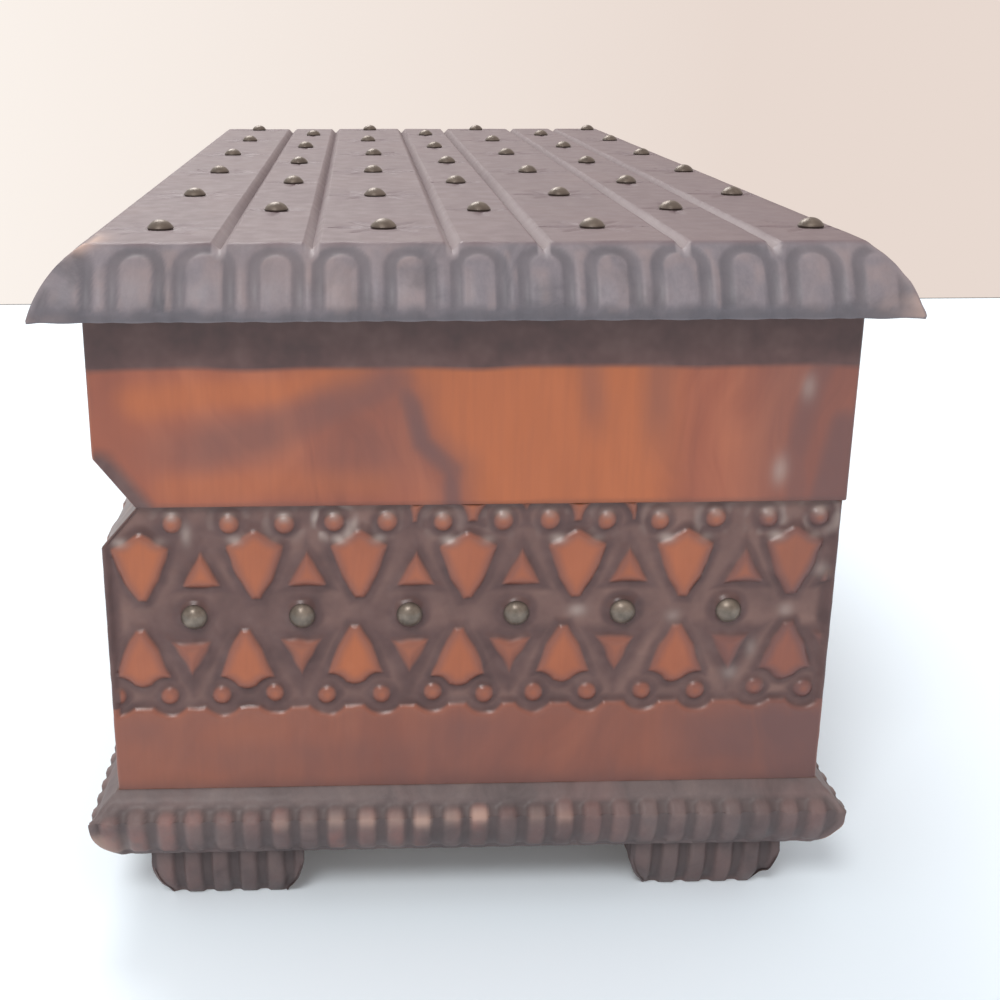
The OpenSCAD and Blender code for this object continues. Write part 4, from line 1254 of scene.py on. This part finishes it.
def walls(name, node, body, half, levels, bevel, carve, steps, seat):
    """Four walls round a rectangle: the ends run its whole width, and the long ones stand between them."""
    half_x, half_y = half
    in_x, in_y = half_x - WALL, half_y - WALL
    boxes = {
        "right": (in_x, half_x, -half_y, half_y),
        "left": (-half_x, -in_x, -half_y, half_y),
        "front": (-in_x, in_x, -half_y, -in_y),
        "back": (-in_x, in_x, in_y, half_y),
    }
    for side, box in boxes.items():
        at_end = side in ("right", "left")
        outer = {"front", side, "back"} if at_end else {side}
        step = steps[0 if at_end else 1]
        piece = block(name.format(side), box, outer, levels(step), None if side == "back" else bevel,
                      GROOVE_REACH if at_end else WALL, carve, step, WOOD)
        if side == "back":
            leaf_recess(piece, *seat)
        placed(piece, body, "varnished_wood", node.format(side))


walls("carved_{}_wall", "case_{}_wall", "case", (CASE_X, CASE_Y), case_levels, CASE_BEVEL,
      case_carving, (END_STEP, LONG_STEP), (WALL_HIGH - 1.0, WALL_HIGH + 2.0))
walls("veneered_{}_rail", "lid_{}_rail", "lid", (CASE_X + LID_PROUD, CASE_Y + LID_PROUD), rail_levels,
      LID_BEVEL, rail_carving, (RAIL_STEP, RAIL_STEP), (RAIL_LOW - 2.0, RAIL_LOW + 1.0))
placed(lid_board([LID_STAIN, UNDER]), "lid", "stained_wood", "lid_board")
placed(base_board([BASE_STAIN, UNDER]), "case", "stained_wood", "base_board")

for end, fx in (("left", -FOOT_X), ("right", FOOT_X)):
    for way, fy in (("front", -FOOT_Y), ("back", FOOT_Y)):
        piece = foot(f"fluted_foot_{way}_{end}", fx, fy, [BASE_STAIN, UNDER], (way, end) == ("back", "right"))
        placed(piece, "case", "stained_wood", f"foot_{way}_{end}")

lid_places = [(x, y, TOP - 0.05) for x, y, _ in LID_STUDS]
lid_studs = stud_set("domed_lid_studs", lid_places, TURNS["up"], BRASS, 0.5)
placed(lid_studs, "lid", "aged_brass", "lid_studs")
side_places = {
    "front": [(x, -CASE_Y, STUD_Z) for x in LONG_STUDS],
    "back": [(x, CASE_Y, STUD_Z) for x in LONG_STUDS],
    "left": [(-CASE_X, y, STUD_Z) for y in END_STUDS],
    "right": [(CASE_X, y, STUD_Z) for y in END_STUDS],
}
for side, places in side_places.items():
    piece = stud_set(f"domed_{side}_studs", places, TURNS[side], BRASS)
    placed(piece, "case", "aged_brass", f"{side}_studs")

screw_places = [(x, y) for y in (-69.0, 69.0) for x in (-120.0, 0.0, 120.0)] + [(-159.0, 0.0), (159.0, 0.0)]
placed(screw_heads("slotted_base_screws", screw_places, BRASS), "case", "aged_brass", "base_screws")

felt = placed(felt_sheet(FELT), "case", "lining_felt", "floor_lining")

for name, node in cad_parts.items():
    if "hinge" in name:
        node.data.materials.clear()
        node.data.materials.append(BRASS)


# Camera, light and surroundings

def add_camera():
    a, b, c = CAMERA_TURN, CAMERA_DIP, CAMERA_ROLL
    forward = Vector((-math.cos(b) * math.cos(a), -math.cos(b) * math.sin(a), -math.sin(b)))
    right = Vector((-math.sin(a), math.cos(a), 0))
    up = right.cross(forward)
    side = right * math.cos(c) + up * math.sin(c)
    over = up * math.cos(c) - right * math.sin(c)
    data = bpy.data.cameras.new("camera")
    camera = bpy.data.objects.new("camera", data)
    bpy.context.scene.collection.objects.link(camera)
    data.sensor_width = 36
    data.lens = CAMERA_LENS
    data.shift_x, data.shift_y = CAMERA_SHIFT
    data.clip_start, data.clip_end = 0.01, 50
    matrix = Matrix((side, over, -forward)).transposed().to_4x4()
    matrix.translation = Vector(CAMERA_PLACE) * MM
    camera.matrix_world = matrix
    bpy.context.scene.camera = camera


def add_lamp(name, place, target, size, power, colour):
    data = bpy.data.lights.new(name, "AREA")
    data.shape = "DISK"
    data.size = size
    data.energy = power
    data.color = colour
    lamp = bpy.data.objects.new(name, data)
    bpy.context.scene.collection.objects.link(lamp)
    lamp.location = place
    lamp.rotation_mode = "QUATERNION"
    lamp.rotation_quaternion = (Vector(target) - Vector(place)).to_track_quat("-Z", "Y")


def plain_sight(tree):
    """1 for what the camera, a gloss or glass sees, and 0 for the light that falls on things."""
    seen = tree.add("LightPath", {}, "Is Camera Ray")
    for ray in ("Is Glossy Ray", "Is Transmission Ray"):
        seen = tree.math("MAXIMUM", seen, tree.add("LightPath", {}, ray))
    return seen


def level_face(name, corners, material):
    """A level face just below the feet."""
    mesh = bpy.data.meshes.new(name)
    mesh.from_pydata([(x, y, -0.0001) for x, y in corners], [], [(0, 1, 2, 3)])
    mesh.materials.append(material)
    face = bpy.data.objects.new(name, mesh)
    bpy.context.scene.collection.objects.link(face)
    return face


def add_floor():
    """A pale table top that ends behind the box, glows faintly as painted light, and has a painted shadow
    line along its far edge.
    """
    far, lean, edge_shadow = -0.567, 0.012, 0.0035
    top = Shade("pale_table")
    pale = top.ramp(top.cloud(3, 2.0), {0.3: (225, 235, 243), 0.7: (229, 238, 244)})
    # A faint painted glow, seen only from the camera and in reflections, lightens the table and the shadows
    # on it
    glow = top.times(plain_sight(top), 0.085)
    top.finish({"Base Color": pale, "Roughness": 0.6, "Specular IOR Level": 0.25,
                "Emission Color": (1.0, 0.95, 0.92, 1.0), "Emission Strength": glow})
    # A thin dark strip along the table's far edge: a painted shadow line
    gap = Shade("table_edge_shadow")
    grit = gap.ramp(gap.cloud(300, 2.0), {0.3: (96, 92, 90), 0.7: (130, 124, 120)})
    gap.finish({"Base Color": grit, "Roughness": 0.8})
    a, b = (far + 2 * lean, -3), (far - 2 * lean, 3)
    table = level_face("table", [a, (4, -3), (4, 3), b], top.material)
    line = level_face("edge_shadow", [(a[0] - edge_shadow, -3), a, b, (b[0] - edge_shadow, 3)], gap.material)


def add_world():
    """White light from all round, with a cream wall for the camera and for reflections."""
    world = bpy.data.worlds.new("room")
    bpy.context.scene.world = world
    tree = Tree(world)
    light = tree.add("Background", {"Color": (0.97, 0.985, 1.0, 1), "Strength": 0.8})
    across = tree.add("SeparateXYZ", {0: tree.add("TexCoord", {}, "Generated")}, "Y")
    cream = tree.mix(tree.spread(across, -0.25, 0.25), (251, 243, 236), (232, 217, 208))
    wall = tree.add("Background", {"Color": cream})
    both = tree.add("MixShader", {0: plain_sight(tree), 1: light, 2: wall})
    tree.feed(tree.tree.nodes.new("ShaderNodeOutputWorld"), {"Surface": both})


add_camera()
add_world()
add_floor()
add_lamp("window", (-1.3, -0.35, 1.45), (0, 0, 0.05), 1.0, 20, (1.0, 0.99, 0.98))
add_lamp("room_light", (1.3, -0.4, 1.4), (0.1, 0, 0.06), 0.6, 15, (1.0, 0.99, 0.98))
bpy.context.scene.view_settings.view_transform = "Standard"
